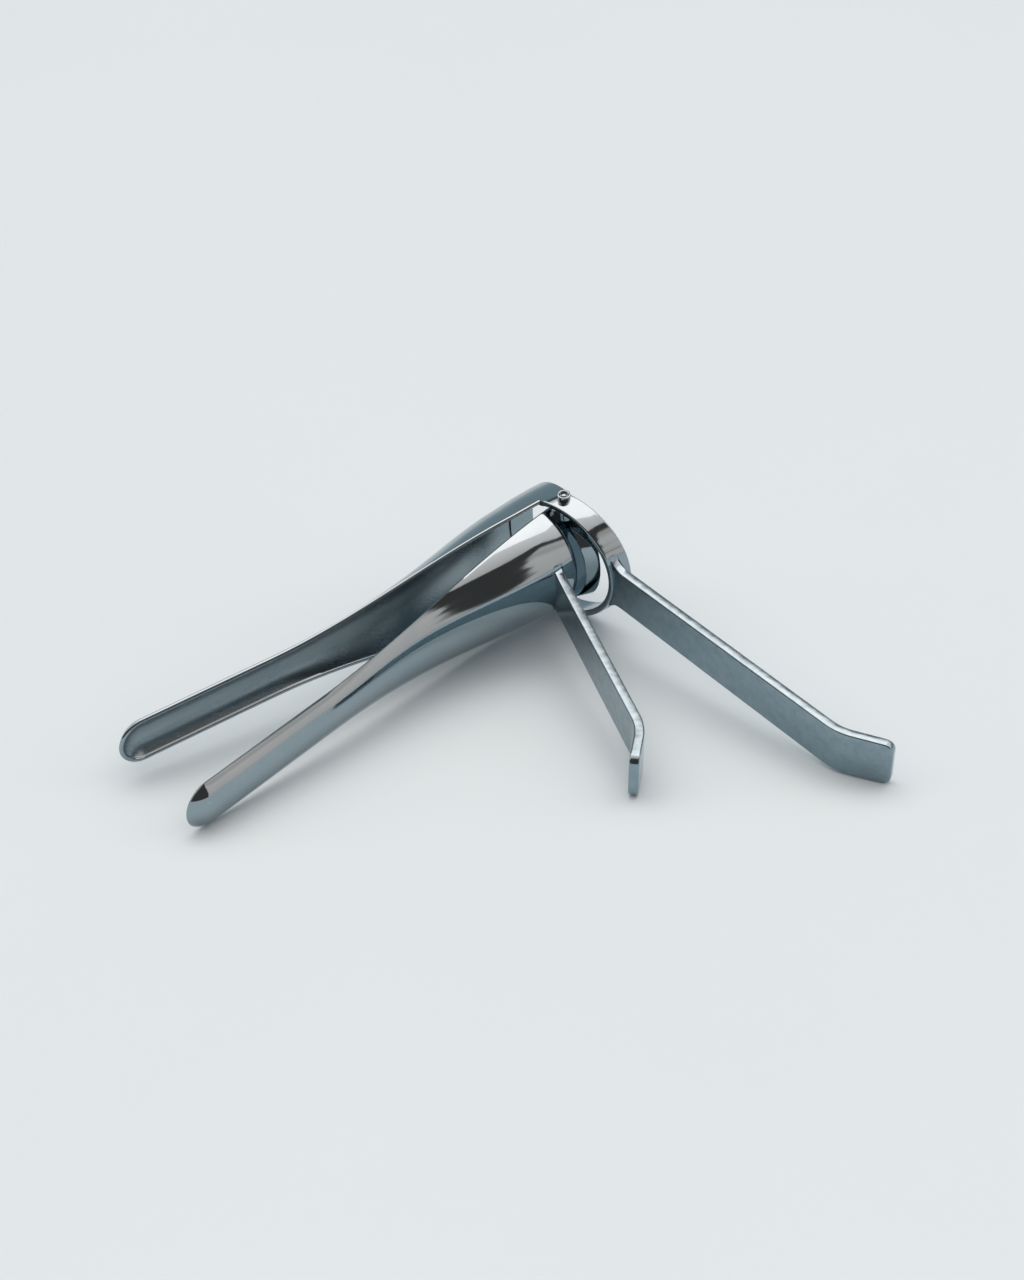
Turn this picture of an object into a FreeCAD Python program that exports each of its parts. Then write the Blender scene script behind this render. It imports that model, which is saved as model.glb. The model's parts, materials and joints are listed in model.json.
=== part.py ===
import FreeCAD, Part
import Sketcher
import math
import os

# Bivalve speculum: two trough blades on one riveted hinge, opened by squeezing the handles.
# Each half is modelled in its own frame: the hinge is the Z axis, X runs to the blade tip
# and Y to the handle. Both halves share the parting plane where the blade rims meet.

SIZES = {
    # Collar round the entrance
    "ring_radius": 18.2,
    "ring_front_radius": 17.3,
    "ring_wall": 1.6,
    "ring_front": 5.0,
    "ring_back": 2.4,
    "bow_front_lean": 7.7,
    "bow_back_lean": 6.6,
    # Blades
    "parting_offset": 3.0,
    "rim_gap": 0.1,
    "blade_wall": 1.2,
    "blade_length": 128.0,
    "taper_length": 80.0,
    "tip_half_width": 6.9,
    "rear_tip_depth": 3.7,
    "front_tip_depth": 3.2,
    "front_mouth_half_width": 15.2,
    "front_mouth_depth": 12.6,
    # Flared lip of the front blade
    "crease": 2.4,
    "lip_reach": 7.1,
    "lip_flare": 4.4,
    "lip_back": 3.9,
    "lip_slant": 14.3,
    # Handles
    "strap_thickness": 2.5,
    "strap_root_height": 12.0,
    "strap_end_height": 13.4,
    "strap_edge_radius": 0.4,
    "strap_corner_radius": 4.0,
    "strap_bend_radius": 4.0,
    "root_flare_radius": 3.2,
    "rear_strap_offset": 1.75,
    "rear_strap_length": 94.0,
    "rear_end_length": 13.0,
    "rear_end_angle": 27.0,
    "rear_handle_lean": 7.7,
    "front_root_centre": 2.4,
    "front_strap_offset": 5.85,
    "front_strap_length": 68.6,
    "front_end_length": 11.0,
    "front_end_angle": 29.0,
    "front_handle_lean": 27.0,
    "braze_gap": 0.02,
    # Riveted hinge
    "pin_diameter": 2.2,
    "pin_clearance": 0.05,
    "pin_head_diameter": 4.4,
    "pin_head_height": 1.0,
    "pin_crown": 0.4,
    "head_recess": 0.5,
    "bush_diameter": 3.4,
    "bush_stand": 1.5,
    "bush_chamfer": 0.2,
    "ear_pad_diameter": 7.0,
    "ear_pad_depth": 2.9,
    "ear_gap": 0.1,
    # Pose in the photograph
    "rear_heading": 214.6,
    "opening": 12.0,
}

TAPER_STEPS = 6
QUARTER_TURN = 90.0
LEVEL_LIMIT = 0.05
CROSSING_LIMIT = 1.3
MESH_SAG = 0.2
SETTLED = 0.001
FAR = 1.0e4

doc = FreeCAD.newDocument("bivalve_speculum")
sheet = doc.addObject("Spreadsheet::Sheet", "Sizes")
for row, (alias, number) in enumerate(SIZES.items(), start=1):
    sheet.set(f"A{row}", alias)
    sheet.set(f"B{row}", str(number))
    sheet.setAlias(f"B{row}", alias)
doc.recompute()


def worked(expression):
    """Number that an expression over the sheet gives."""
    answer = sheet.evalExpression(expression)
    return float(getattr(answer, "Value", answer))


def size(alias):
    """Number in one cell of the sheet."""
    return float(sheet.get(alias))


def vec(across, up, along=0.0):
    """Point or direction, on the XY plane unless the last number is given."""
    return FreeCAD.Vector(across, up, along)


# Positions shared by several pieces, as expressions over the sheet
RIM_STEP = "(Sizes.blade_wall + Sizes.rim_gap) / 2"
REAR_RIM = f"(Sizes.parting_offset + {RIM_STEP})"
FRONT_RIM = f"(Sizes.parting_offset - {RIM_STEP})"
RING_INNER = "(Sizes.ring_radius - Sizes.ring_wall)"
REAR_MOUTH_HALF_WIDTH = f"sqrt(Sizes.ring_front_radius ^ 2 - {REAR_RIM} ^ 2)"
REAR_MOUTH_DEPTH = f"(Sizes.ring_front_radius - {REAR_RIM})"
TIP_CENTRE = "(Sizes.blade_length - Sizes.tip_half_width)"
SEAT_LEVEL = f"({RING_INNER} + Sizes.ear_gap / 2)"
PAD_TOP = f"({RING_INNER} - Sizes.ear_gap / 2)"
PAD_BOTTOM = f"({PAD_TOP} - Sizes.ear_pad_depth)"
BUSH_TOP = "(Sizes.ring_radius + Sizes.bush_stand)"
RING_REACH = "(Sizes.ring_radius + Sizes.ring_wall)"
BEYOND = "Sizes.blade_length"


def new_body(name):
    """Empty body for one solid."""
    return doc.addObject("PartDesign::Body", name)


def plane_of(body, role):
    """Origin plane of a body found by its role."""
    return next(item for item in body.Origin.OriginFeatures if item.Role == role)


def new_sketch(body, name, role, along="0", across="0", turned=0.0):
    """Sketch on an origin plane, moved along its normal and across it by expressions."""
    sketch = body.newObject("Sketcher::SketchObject", name)
    sketch.AttachmentSupport = [(plane_of(body, role), "")]
    sketch.MapMode = "FlatFace"
    turn = FreeCAD.Rotation(vec(0, 0, 1), turned)
    sketch.AttachmentOffset = FreeCAD.Placement(vec(0, 0, 0), turn)
    sketch.setExpression("AttachmentOffset.Base.z", along)
    sketch.setExpression("AttachmentOffset.Base.x", across)
    return sketch


def hold(sketch, kind, *places):
    """Constraint without a size."""
    sketch.addConstraint(Sketcher.Constraint(kind, *places))


def drive(sketch, kind, places, expression):
    """Constraint whose size follows an expression over the sheet."""
    index = sketch.addConstraint(Sketcher.Constraint(kind, *places, worked(expression)))
    name = f"{kind.lower()}_{index}"
    sketch.renameConstraint(index, name)
    sketch.setExpression(f"Constraints.{name}", expression)


def add_line(sketch, start, end):
    """Straight line of a sketch."""
    return sketch.addGeometry(Part.LineSegment(start, end), False)


def add_bow(sketch, half_width, depth, half, wall_step):
    """Arc over the rim line, from +half width down to the floor, held by both numbers.

    The rim line is the sketch's vertical axis and the floor lies on its horizontal axis.
    """
    width = worked(f"{half_width} - {wall_step}")
    floor = worked(f"{depth} - {wall_step}")
    radius = (width ** 2 + floor ** 2) / (2 * floor)
    middle_x = floor - radius
    reach = math.atan2(width, -middle_x)
    low = 0.0 if half else -reach
    circle = Part.Circle(vec(middle_x, 0), vec(0, 0, 1), radius)
    arc = sketch.addGeometry(Part.ArcOfCircle(circle, low, reach), False)
    hold(sketch, "PointOnObject", arc, 3, -1)
    hold(sketch, "PointOnObject", arc, 2, -2)
    drive(sketch, "DistanceY", (-1, 1, arc, 2), f"{half_width} - {wall_step}")
    if half:
        hold(sketch, "PointOnObject", arc, 1, -1)
        drive(sketch, "DistanceX", (-1, 1, arc, 1), f"{depth} - {wall_step}")
        return arc
    hold(sketch, "PointOnObject", arc, 1, -2)
    floor_point = sketch.addGeometry(Part.Point(vec(floor, 0)), True)
    hold(sketch, "PointOnObject", floor_point, 1, -1)
    hold(sketch, "PointOnObject", floor_point, 1, arc)
    drive(sketch, "DistanceX", (-1, 1, floor_point, 1), f"{depth} - {wall_step}")
    return arc


def add_rim(sketch, outer, inner, half_width, upper):
    """Half-round rim between the ends of the outer and inner bows."""
    wall = size("blade_wall")
    width = worked(half_width) - wall / 2
    end = 2 if upper else 1
    circle = Part.Circle(vec(0, width if upper else -width), vec(0, 0, 1), wall / 2)
    turn = (math.pi / 2, 3 * math.pi / 2)
    arc = sketch.addGeometry(Part.ArcOfCircle(circle, *turn), False)
    hold(sketch, "Coincident", arc, 1, outer if upper else inner, end)
    hold(sketch, "Coincident", arc, 2, inner if upper else outer, end)
    hold(sketch, "PointOnObject", arc, 3, -2)


def blade_section(body, name, side, station, half_width, depth, half=False):
    """Section of a blade's wall at one station; the half one is turned into the tip."""
    rim = f"-{REAR_RIM if side < 0 else FRONT_RIM}"
    sketch = new_sketch(body, name, "YZ_Plane", station, rim, 180.0 if side < 0 else 0.0)
    outer = add_bow(sketch, half_width, depth, half, "0")
    inner = add_bow(sketch, half_width, depth, half, "Sizes.blade_wall")
    add_rim(sketch, outer, inner, half_width, True)
    if half:
        floor = worked(depth)
        line = add_line(sketch, vec(floor, 0), vec(floor - size("blade_wall"), 0))
        hold(sketch, "Coincident", line, 1, outer, 1)
        hold(sketch, "Coincident", line, 2, inner, 1)
    else:
        add_rim(sketch, outer, inner, half_width, False)
    return sketch


def filled_section(body, name, station, half_width, depth):
    """Outer shape of the front blade at one station, as a filled bow."""
    sketch = new_sketch(body, name, "YZ_Plane", station, f"-{FRONT_RIM}")
    outer = add_bow(sketch, half_width, depth, False, "-Sizes.braze_gap")
    width = worked(half_width)
    chord = add_line(sketch, vec(0, width), vec(0, -width))
    hold(sketch, "Coincident", chord, 1, outer, 2)
    hold(sketch, "Coincident", chord, 2, outer, 1)
    return sketch


def loft(body, name, sections, ruled=False):
    """Solid through a row of sections."""
    feature = body.newObject("PartDesign::AdditiveLoft", name)
    feature.Profile = sections[0]
    feature.Sections = sections[1:]
    feature.Ruled = ruled


def pad(body, name, sketch, length, reverse):
    """Solid pushed up from its sketch, or down from it."""
    feature = body.newObject("PartDesign::Pad", name)
    feature.Profile = sketch
    feature.Reversed = reverse
    feature.setExpression("Length", length)


def cut_through(body, name, sketch):
    """Pocket on both sides of its sketch, past everything."""
    feature = body.newObject("PartDesign::Pocket", name)
    feature.Profile = sketch
    feature.SideType = "Symmetric"
    feature.Type = "ThroughAll"


def revolve(body, name, sketch, axis, angle=360.0):
    """Solid turned about one axis of its sketch."""
    feature = body.newObject("PartDesign::Revolution", name)
    feature.Profile = sketch
    feature.ReferenceAxis = (sketch, [axis])
    feature.Angle = angle


def driven_outline(sketch, corners):
    """Closed outline of straight lines; each corner is a pair of expressions from the origin."""
    points = [vec(worked(x), worked(y)) for x, y in corners]
    lines = [add_line(sketch, a, b) for a, b in zip(points, points[1:] + points[:1])]
    for index, line in enumerate(lines):
        hold(sketch, "Coincident", line, 2, lines[(index + 1) % len(lines)], 1)
        drive(sketch, "DistanceX", (-1, 1, line, 1), corners[index][0])
        drive(sketch, "DistanceY", (-1, 1, line, 1), corners[index][1])


def driven_circle(sketch, diameter):
    """Circle about the sketch's origin."""
    circle = sketch.addGeometry(Part.Circle(vec(0, 0), vec(0, 0, 1), worked(diameter) / 2), False)
    hold(sketch, "Coincident", circle, 3, -1, 1)
    drive(sketch, "Diameter", (circle,), diameter)


def ease(step):
    """Share of the mouth's extra size left at one step of the taper."""
    return (1 + math.cos(math.pi * step / TAPER_STEPS)) / 2


def taper_sizes(start, mouth_width, mouth_depth, tip_depth):
    """Station, half width and depth of each section from the mouth to the tip's centre."""
    rows = []
    for step in range(TAPER_STEPS + 1):
        station = f"{start} + Sizes.taper_length * {step} / {TAPER_STEPS}"
        left = ease(step)
        width = f"Sizes.tip_half_width + ({mouth_width} - Sizes.tip_half_width) * {left:.6f}"
        depth = f"{tip_depth} + ({mouth_depth} - {tip_depth}) * {left ** 2:.6f}"
        rows.append((station, width, depth))
    middle = f"({start} + Sizes.taper_length + {TIP_CENTRE}) / 2"
    rows.append((middle, "Sizes.tip_half_width", tip_depth))
    rows.append((TIP_CENTRE, "Sizes.tip_half_width", tip_depth))
    return rows


def trough(body, side, start, mouth_width, mouth_depth, tip_depth):
    """Blade's wall from its mouth to the closed, rounded tip; returns its first section."""
    rows = taper_sizes(start, mouth_width, mouth_depth, tip_depth)
    sections = [blade_section(body, f"Section{n}", side, *row) for n, row in enumerate(rows)]
    loft(body, "Trough", sections)
    half = blade_section(body, "TipSection", side, *rows[-1], half=True)
    revolve(body, "Tip", half, "H_Axis", 180.0)
    return sections[0]


def rear_blade():
    """Narrow trough that grows out of the collar's front edge."""
    body = new_body("rear_blade")
    trough(
        body, -1, "Sizes.ring_front", REAR_MOUTH_HALF_WIDTH, REAR_MOUTH_DEPTH,
        "Sizes.rear_tip_depth",
    )
    return body


def rear_collar():
    """Hood and bow in one ring: turned, then trimmed to its leaning edges."""
    body = new_body("rear_collar")
    profile = new_sketch(body, "RingProfile", "XY_Plane")
    tail = f"-(Sizes.ring_back + Sizes.bow_back_lean + {RING_INNER} / 4)"
    driven_outline(profile, [
        (tail, RING_INNER),
        ("0", RING_INNER),
        ("Sizes.ring_front", "Sizes.ring_front_radius - Sizes.ring_wall"),
        ("Sizes.ring_front", "Sizes.ring_front_radius"),
        ("0", "Sizes.ring_radius"),
        (tail, "Sizes.ring_radius"),
    ])
    revolve(body, "Ring", profile, "H_Axis")
    front = new_sketch(body, "FrontEdge", "XY_Plane")
    driven_outline(front, [
        ("Sizes.ring_front", f"-{REAR_RIM}"),
        ("Sizes.ring_front + Sizes.ring_wall", f"-{REAR_RIM}"),
        ("Sizes.ring_front + Sizes.ring_wall", RING_REACH),
        ("Sizes.ring_front - Sizes.bow_front_lean", RING_REACH),
    ])
    cut_through(body, "FrontTrim", front)
    back = new_sketch(body, "BackEdge", "XY_Plane")
    driven_outline(back, [
        ("-Sizes.ring_back", f"-{RING_REACH}"),
        ("-Sizes.ring_back", "0"),
        ("-Sizes.ring_back - Sizes.bow_back_lean", RING_REACH),
        (f"-{BEYOND}", RING_REACH),
        (f"-{BEYOND}", f"-{RING_REACH}"),
    ])
    cut_through(body, "BackTrim", back)
    for side in (1, -1):
        seat = new_sketch(body, f"EarSeat{side + 1}", "XY_Plane", f"{side} * ({SEAT_LEVEL})")
        driven_circle(seat, "Sizes.ear_pad_diameter + 2 * Sizes.ear_gap")
        pocket = body.newObject("PartDesign::Pocket", f"EarSeatCut{side + 1}")
        pocket.Profile = seat
        pocket.Reversed = side < 0
        pocket.setExpression("Length", "Sizes.ring_wall")
    hole = new_sketch(body, "BushHole", "XY_Plane")
    driven_circle(hole, "Sizes.bush_diameter + 2 * Sizes.braze_gap")
    cut_through(body, "BushHoleCut", hole)
    return body


def front_blade():
    """Trough with a flared lip and two hinge ears that run inside the collar."""
    body = new_body("front_blade")
    mouth = trough(
        body, 1, "Sizes.crease", "Sizes.front_mouth_half_width", "Sizes.front_mouth_depth",
        "Sizes.front_tip_depth",
    )
    lip_edge = blade_section(
        body, "LipSection", 1, "Sizes.crease - Sizes.lip_reach", "Sizes.front_mouth_half_width",
        "Sizes.front_mouth_depth + Sizes.lip_flare",
    )
    loft(body, "Lip", [mouth, lip_edge], ruled=True)
    slant = new_sketch(body, "LipSlant", "XY_Plane")
    run = "tan(Sizes.lip_slant * 1 deg)"
    driven_outline(slant, [
        (f"-Sizes.lip_back - Sizes.ring_radius * {run}", "-Sizes.ring_radius"),
        (f"-Sizes.lip_back + 2 * Sizes.ring_radius * {run}", "2 * Sizes.ring_radius"),
        (f"-{BEYOND}", "2 * Sizes.ring_radius"),
        (f"-{BEYOND}", "-Sizes.ring_radius"),
    ])
    cut_through(body, "LipTrim", slant)
    for side in (1, -1):
        ear = new_sketch(body, f"Ear{side + 1}", "XY_Plane", f"{side} * {PAD_BOTTOM}")
        driven_circle(ear, "Sizes.ear_pad_diameter")
        pad(body, f"EarPad{side + 1}", ear, "Sizes.ear_pad_depth", reverse=side < 0)
    inside = new_sketch(body, "EarInside", "XY_Plane")
    driven_circle(inside, "Sizes.pin_head_diameter + 2 * Sizes.head_recess")
    face = body.newObject("PartDesign::Pocket", "EarInsideCut")
    face.Profile = inside
    face.SideType = "Symmetric"
    face.setExpression("Length", f"2 * {PAD_BOTTOM}")
    hole = new_sketch(body, "PinHole", "XY_Plane")
    driven_circle(hole, "Sizes.pin_diameter + 2 * Sizes.pin_clearance")
    cut_through(body, "PinHoleCut", hole)
    return body


def hinge_bush(name, side):
    """Turned bush brazed through the collar, standing proud of it."""
    body = new_body(name)
    profile = new_sketch(body, "Profile", "XZ_Plane")
    bore = "(Sizes.pin_diameter / 2 + Sizes.braze_gap)"
    outer = "Sizes.bush_diameter / 2"
    driven_outline(profile, [
        (bore, SEAT_LEVEL),
        (outer, SEAT_LEVEL),
        (outer, f"{BUSH_TOP} - Sizes.bush_chamfer"),
        (f"{outer} - Sizes.bush_chamfer", BUSH_TOP),
        (f"{bore} + Sizes.bush_chamfer", BUSH_TOP),
        (bore, f"{BUSH_TOP} - Sizes.bush_chamfer"),
    ])
    revolve(body, "Turned", profile, "V_Axis")
    return flipped(body, side)


def hinge_pin(name, side):
    """Rivet with a flat head inside the front blade and a crowned end in the bush."""
    body = new_body(name)
    profile = new_sketch(body, "Profile", "XZ_Plane")
    radius = "Sizes.pin_diameter / 2"
    head_top = f"({PAD_BOTTOM} - Sizes.pin_clearance)"
    head_low = f"({head_top} - Sizes.pin_head_height)"
    head = "Sizes.pin_head_diameter / 2"
    corners = [
        ("0", BUSH_TOP),
        ("0", head_low),
        (f"{head} - Sizes.pin_head_height / 2", head_low),
        (head, f"{head_low} + Sizes.pin_head_height / 2"),
        (head, head_top),
        (radius, head_top),
        (radius, f"{BUSH_TOP} - Sizes.pin_crown"),
    ]
    points = [vec(worked(x), worked(y)) for x, y in corners]
    lines = [add_line(profile, a, b) for a, b in zip(points, points[1:])]
    for index, line in enumerate(lines):
        if index:
            hold(profile, "Coincident", lines[index - 1], 2, line, 1)
        drive(profile, "DistanceX", (-1, 1, line, 1), corners[index][0])
        drive(profile, "DistanceY", (-1, 1, line, 1), corners[index][1])
    last = lines[-1]
    drive(profile, "DistanceX", (-1, 1, last, 2), corners[-1][0])
    drive(profile, "DistanceY", (-1, 1, last, 2), corners[-1][1])
    edge = worked(radius)
    crown = size("pin_crown")
    ball = (edge ** 2 + crown ** 2) / (2 * crown)
    middle = points[0].y - ball
    sweep = math.asin(edge / ball)
    circle = Part.Circle(vec(0, middle), vec(0, 0, 1), ball)
    arc = profile.addGeometry(Part.ArcOfCircle(circle, math.pi / 2 - sweep, math.pi / 2), False)
    hold(profile, "Coincident", arc, 1, last, 2)
    hold(profile, "Coincident", arc, 2, lines[0], 1)
    hold(profile, "PointOnObject", arc, 3, -2)
    revolve(body, "Turned", profile, "V_Axis")
    return flipped(body, side)


def flipped(body, side):
    """Pieces of the lower side are the upper ones turned over about the X axis."""
    if side < 0:
        body.Placement = FreeCAD.Placement(vec(0, 0, 0), FreeCAD.Rotation(vec(1, 0, 0), 180))
    return body


def mirrored(point, sign):
    """Point of the sketch, or its mirror image about the horizontal axis."""
    return vec(point.x, sign * point.y)


def bend_path(body, side, start, length, end_length, end_angle):
    """Path of a strap: straight, one bend and the short end."""
    path = new_sketch(body, "Path", "XY_Plane")
    angle = math.radians(worked(end_angle))
    bend = size("strap_bend_radius")
    straight = worked(length)
    middle = vec(straight, side * bend)
    bent = middle + vec(bend * math.sin(angle), -side * bend * math.cos(angle))
    tip = bent + vec(math.cos(angle), side * math.sin(angle)) * worked(end_length)
    first = add_line(path, vec(worked(start), 0), vec(straight, 0))
    foot = -side * math.pi / 2
    turn = (foot, foot + angle) if side > 0 else (foot - angle, foot)
    circle = Part.Circle(middle, vec(0, 0, 1), bend)
    arc = path.addGeometry(Part.ArcOfCircle(circle, *turn), False)
    near, far = (1, 2) if side > 0 else (2, 1)
    second = add_line(path, bent, tip)
    hold(path, "PointOnObject", first, 1, -1)
    hold(path, "PointOnObject", first, 2, -1)
    hold(path, "Tangent", first, 2, arc, near)
    hold(path, "Tangent", arc, far, second, 1)
    drive(path, "DistanceX", (-1, 1, first, 1), start)
    drive(path, "DistanceX", (-1, 1, first, 2), length)
    drive(path, "Radius", (arc,), "Sizes.strap_bend_radius")
    drive(path, "Distance", (second, 1, second, 2), end_length)
    drive(path, "DistanceX", (second, 1, second, 2), f"{end_length} * cos({end_angle} * 1 deg)")
    return path


def side_view(body, start, end_x, root_centre, root_radius):
    """Everything outside the strap's side view, for the pocket that trims it."""
    view = new_sketch(body, "SideView", "XZ_Plane")
    frame_back = f"({start} - Sizes.strap_end_height)"
    frame_front = f"({end_x} + Sizes.strap_end_height)"
    frame_side = "(2 * Sizes.strap_end_height)"
    driven_outline(view, [
        (frame_back, f"-{frame_side}"),
        (frame_front, f"-{frame_side}"),
        (frame_front, frame_side),
        (frame_back, frame_side),
    ])
    root = worked("Sizes.strap_root_height / 2")
    end = worked("Sizes.strap_end_height / 2")
    flare = size("root_flare_radius")
    corner = size("strap_corner_radius")
    right = worked(end_x)
    left = worked(start)
    hub = vec(worked(root_centre), 0)
    reach = worked(root_radius) + flare
    centre = hub + vec(math.sqrt(reach ** 2 - (root + flare) ** 2), root + flare)
    touch = hub + (centre - hub) * (worked(root_radius) / reach)
    sides = []
    for sign in (1, -1):
        hub_point = view.addGeometry(Part.Point(hub), True)
        hold(view, "PointOnObject", hub_point, 1, -1)
        drive(view, "DistanceX", (-1, 1, hub_point, 1), root_centre)
        spoke = view.addGeometry(Part.LineSegment(hub, mirrored(centre, sign)), True)
        inner = add_line(view, vec(left, sign * touch.y), mirrored(touch, sign))
        to_touch = math.atan2(touch.y - centre.y, touch.x - centre.x) % (2 * math.pi)
        turn = (to_touch, 1.5 * math.pi) if sign > 0 else (math.pi / 2, 2 * math.pi - to_touch)
        circle = Part.Circle(mirrored(centre, sign), vec(0, 0, 1), flare)
        arc = view.addGeometry(Part.ArcOfCircle(circle, *turn), False)
        near, far = (1, 2) if sign > 0 else (2, 1)
        edge = add_line(view, vec(centre.x, sign * root), vec(right - corner, sign * end))
        turn = (0, math.pi / 2) if sign > 0 else (-math.pi / 2, 0)
        circle = Part.Circle(vec(right - corner, sign * (end - corner)), vec(0, 0, 1), corner)
        round_end = view.addGeometry(Part.ArcOfCircle(circle, *turn), False)
        outer, tip = (2, 1) if sign > 0 else (1, 2)
        hold(view, "Coincident", spoke, 1, hub_point, 1)
        hold(view, "Coincident", spoke, 2, arc, 3)
        hold(view, "Horizontal", inner)
        hold(view, "Coincident", inner, 2, arc, near)
        hold(view, "PointOnObject", arc, near, spoke)
        hold(view, "Coincident", arc, far, edge, 1)
        hold(view, "Coincident", edge, 2, round_end, outer)
        hold(view, "Vertical", arc, 3, arc, far)
        hold(view, "Vertical", round_end, 3, round_end, outer)
        drive(view, "DistanceX", (-1, 1, inner, 1), start)
        drive(view, "Radius", (arc,), "Sizes.root_flare_radius")
        drive(view, "Distance", (spoke, 1, spoke, 2), f"{root_radius} + Sizes.root_flare_radius")
        drive(view, "Radius", (round_end,), "Sizes.strap_corner_radius")
        drive(view, "DistanceY", (-1, 1, edge, 1), f"{sign} * Sizes.strap_root_height / 2")
        drive(view, "DistanceY", (-1, 1, edge, 2), f"{sign} * Sizes.strap_end_height / 2")
        hold(view, "Horizontal", round_end, 3, round_end, tip)
        drive(view, "DistanceX", (-1, 1, round_end, tip), end_x)
        sides.append((inner, round_end, tip))
    (upper, upper_end, upper_tip), (lower, lower_end, lower_tip) = sides
    back = add_line(view, vec(left, touch.y), vec(left, -touch.y))
    hold(view, "Coincident", back, 1, upper, 1)
    hold(view, "Coincident", back, 2, lower, 1)
    front = add_line(view, vec(right, end - corner), vec(right, corner - end))
    hold(view, "Coincident", front, 1, upper_end, upper_tip)
    hold(view, "Coincident", front, 2, lower_end, lower_tip)
    return view


def outline_edges(shape, start):
    """Edges along the outline of a strap, not those across its thickness."""
    names = []
    for number, edge in enumerate(shape.Edges, start=1):
        first, last = edge.Vertexes[0].Point, edge.Vertexes[-1].Point
        level = abs(last.z - first.z) < LEVEL_LIMIT
        crossing = level and edge.Length < CROSSING_LIMIT * size("strap_thickness")
        if edge.BoundBox.XMin > start + LEVEL_LIMIT and not crossing:
            names.append(f"Edge{number}")
    return names


def handle_strap(name, side, start, length, end_length, end_angle, root_centre, root_radius):
    """Bent flat strap with a flared root; its X axis runs along it from the hinge."""
    body = new_body(name)
    path = bend_path(body, side, start, length, end_length, end_angle)
    profile = new_sketch(body, "Profile", "YZ_Plane", start)
    half = "Sizes.strap_thickness / 2"
    tall = "(Sizes.strap_end_height / 2 + Sizes.root_flare_radius)"
    driven_outline(profile, [
        (f"-{half}", f"-{tall}"), (half, f"-{tall}"), (half, tall), (f"-{half}", tall),
    ])
    strip = body.newObject("PartDesign::AdditivePipe", "Strip")
    strip.Profile = profile
    strip.Spine = path
    strip.Transition = "Right corner"
    bend = f"Sizes.strap_bend_radius * sin({end_angle} * 1 deg)"
    end_x = f"{length} + {bend} + {end_length} * cos({end_angle} * 1 deg) + {half}"
    view = side_view(body, start, end_x, root_centre, root_radius)
    cut_through(body, "SideTrim", view)
    doc.recompute()
    trimmed = body.Tip
    edges = outline_edges(trimmed.Shape, worked(start))
    fillet = body.newObject("PartDesign::Fillet", "SoftEdges")
    fillet.Base = (trimmed, edges)
    fillet.setExpression("Radius", "Sizes.strap_edge_radius")
    return body


def on_half(body, offset, lean):
    """Stands a strap on its half: turned from the half's X axis, offset across its length."""
    turn = FreeCAD.Rotation(vec(0, 0, 1), lean)
    body.Placement = FreeCAD.Placement(turn.multVec(vec(0, offset)), turn)


def seated(name, strap, tool):
    """Strap cut to the curved face that it is brazed on."""
    cut = doc.addObject("Part::Cut", name)
    cut.Base = strap
    cut.Tool = tool
    return cut


def rear_handle():
    """Long handle on the bow of the collar."""
    start = "(Sizes.ring_radius - Sizes.strap_root_height / 2)"
    strap = handle_strap(
        "rear_strap", 1, start, "Sizes.rear_strap_length", "Sizes.rear_end_length",
        "Sizes.rear_end_angle", "0", "Sizes.ring_radius",
    )
    on_half(strap, size("rear_strap_offset"), QUARTER_TURN + size("rear_handle_lean"))
    ring = doc.addObject("Part::Cylinder", "RingSpace")
    ring.setExpression("Radius", "Sizes.ring_radius + Sizes.braze_gap")
    ring.setExpression("Height", BEYOND)
    ring.Placement = FreeCAD.Placement(vec(0, 0), FreeCAD.Rotation(vec(0, 1, 0), QUARTER_TURN))
    ring.setExpression("Placement.Base.x", f"-{BEYOND} / 2")
    return seated("rear_handle", strap, ring)


def front_handle():
    """Shorter handle on the outside of the front blade, just past its lip."""
    strap = handle_strap(
        "front_strap", -1, "Sizes.front_mouth_depth / 2", "Sizes.front_strap_length",
        "Sizes.front_end_length", "Sizes.front_end_angle", "-Sizes.front_root_centre",
        "Sizes.front_mouth_half_width",
    )
    on_half(strap, -size("front_strap_offset"), QUARTER_TURN - size("front_handle_lean"))
    space = new_body("BladeSpace")
    rows = taper_sizes(
        "Sizes.crease", "Sizes.front_mouth_half_width", "Sizes.front_mouth_depth",
        "Sizes.front_tip_depth",
    )
    sections = [filled_section(space, f"Section{n}", *row) for n, row in enumerate(rows)]
    loft(space, "Outside", sections)
    return seated("front_handle", strap, space)


rear_pieces = [
    rear_blade(),
    rear_collar(),
    rear_handle(),
    hinge_bush("upper_hinge_bush", 1),
    hinge_bush("lower_hinge_bush", -1),
    hinge_pin("upper_hinge_pin", 1),
    hinge_pin("lower_hinge_pin", -1),
]
front_pieces = [front_blade(), front_handle()]
doc.recompute()


def tessellated(shape):
    """Points of a shape's surface, close enough for standing it on a table."""
    return shape.tessellate(MESH_SAG)[0]


def plane_height(corners, spot):
    """Height of the plane through three points above a spot of the XY plane."""
    first, second, third = corners
    normal = (second - first).cross(third - first)
    return first.z - (normal.x * (spot.x - first.x) + normal.y * (spot.y - first.y)) / normal.z


def covers(corners, spot):
    """Whether a triangle, seen from above, covers a spot."""
    turns = []
    for start, end in zip(corners, corners[1:] + corners[:1]):
        side = end - start
        away = spot - start
        turns.append(side.x * away.y - side.y * away.x)
    return min(turns) > 0 or max(turns) < 0


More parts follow.
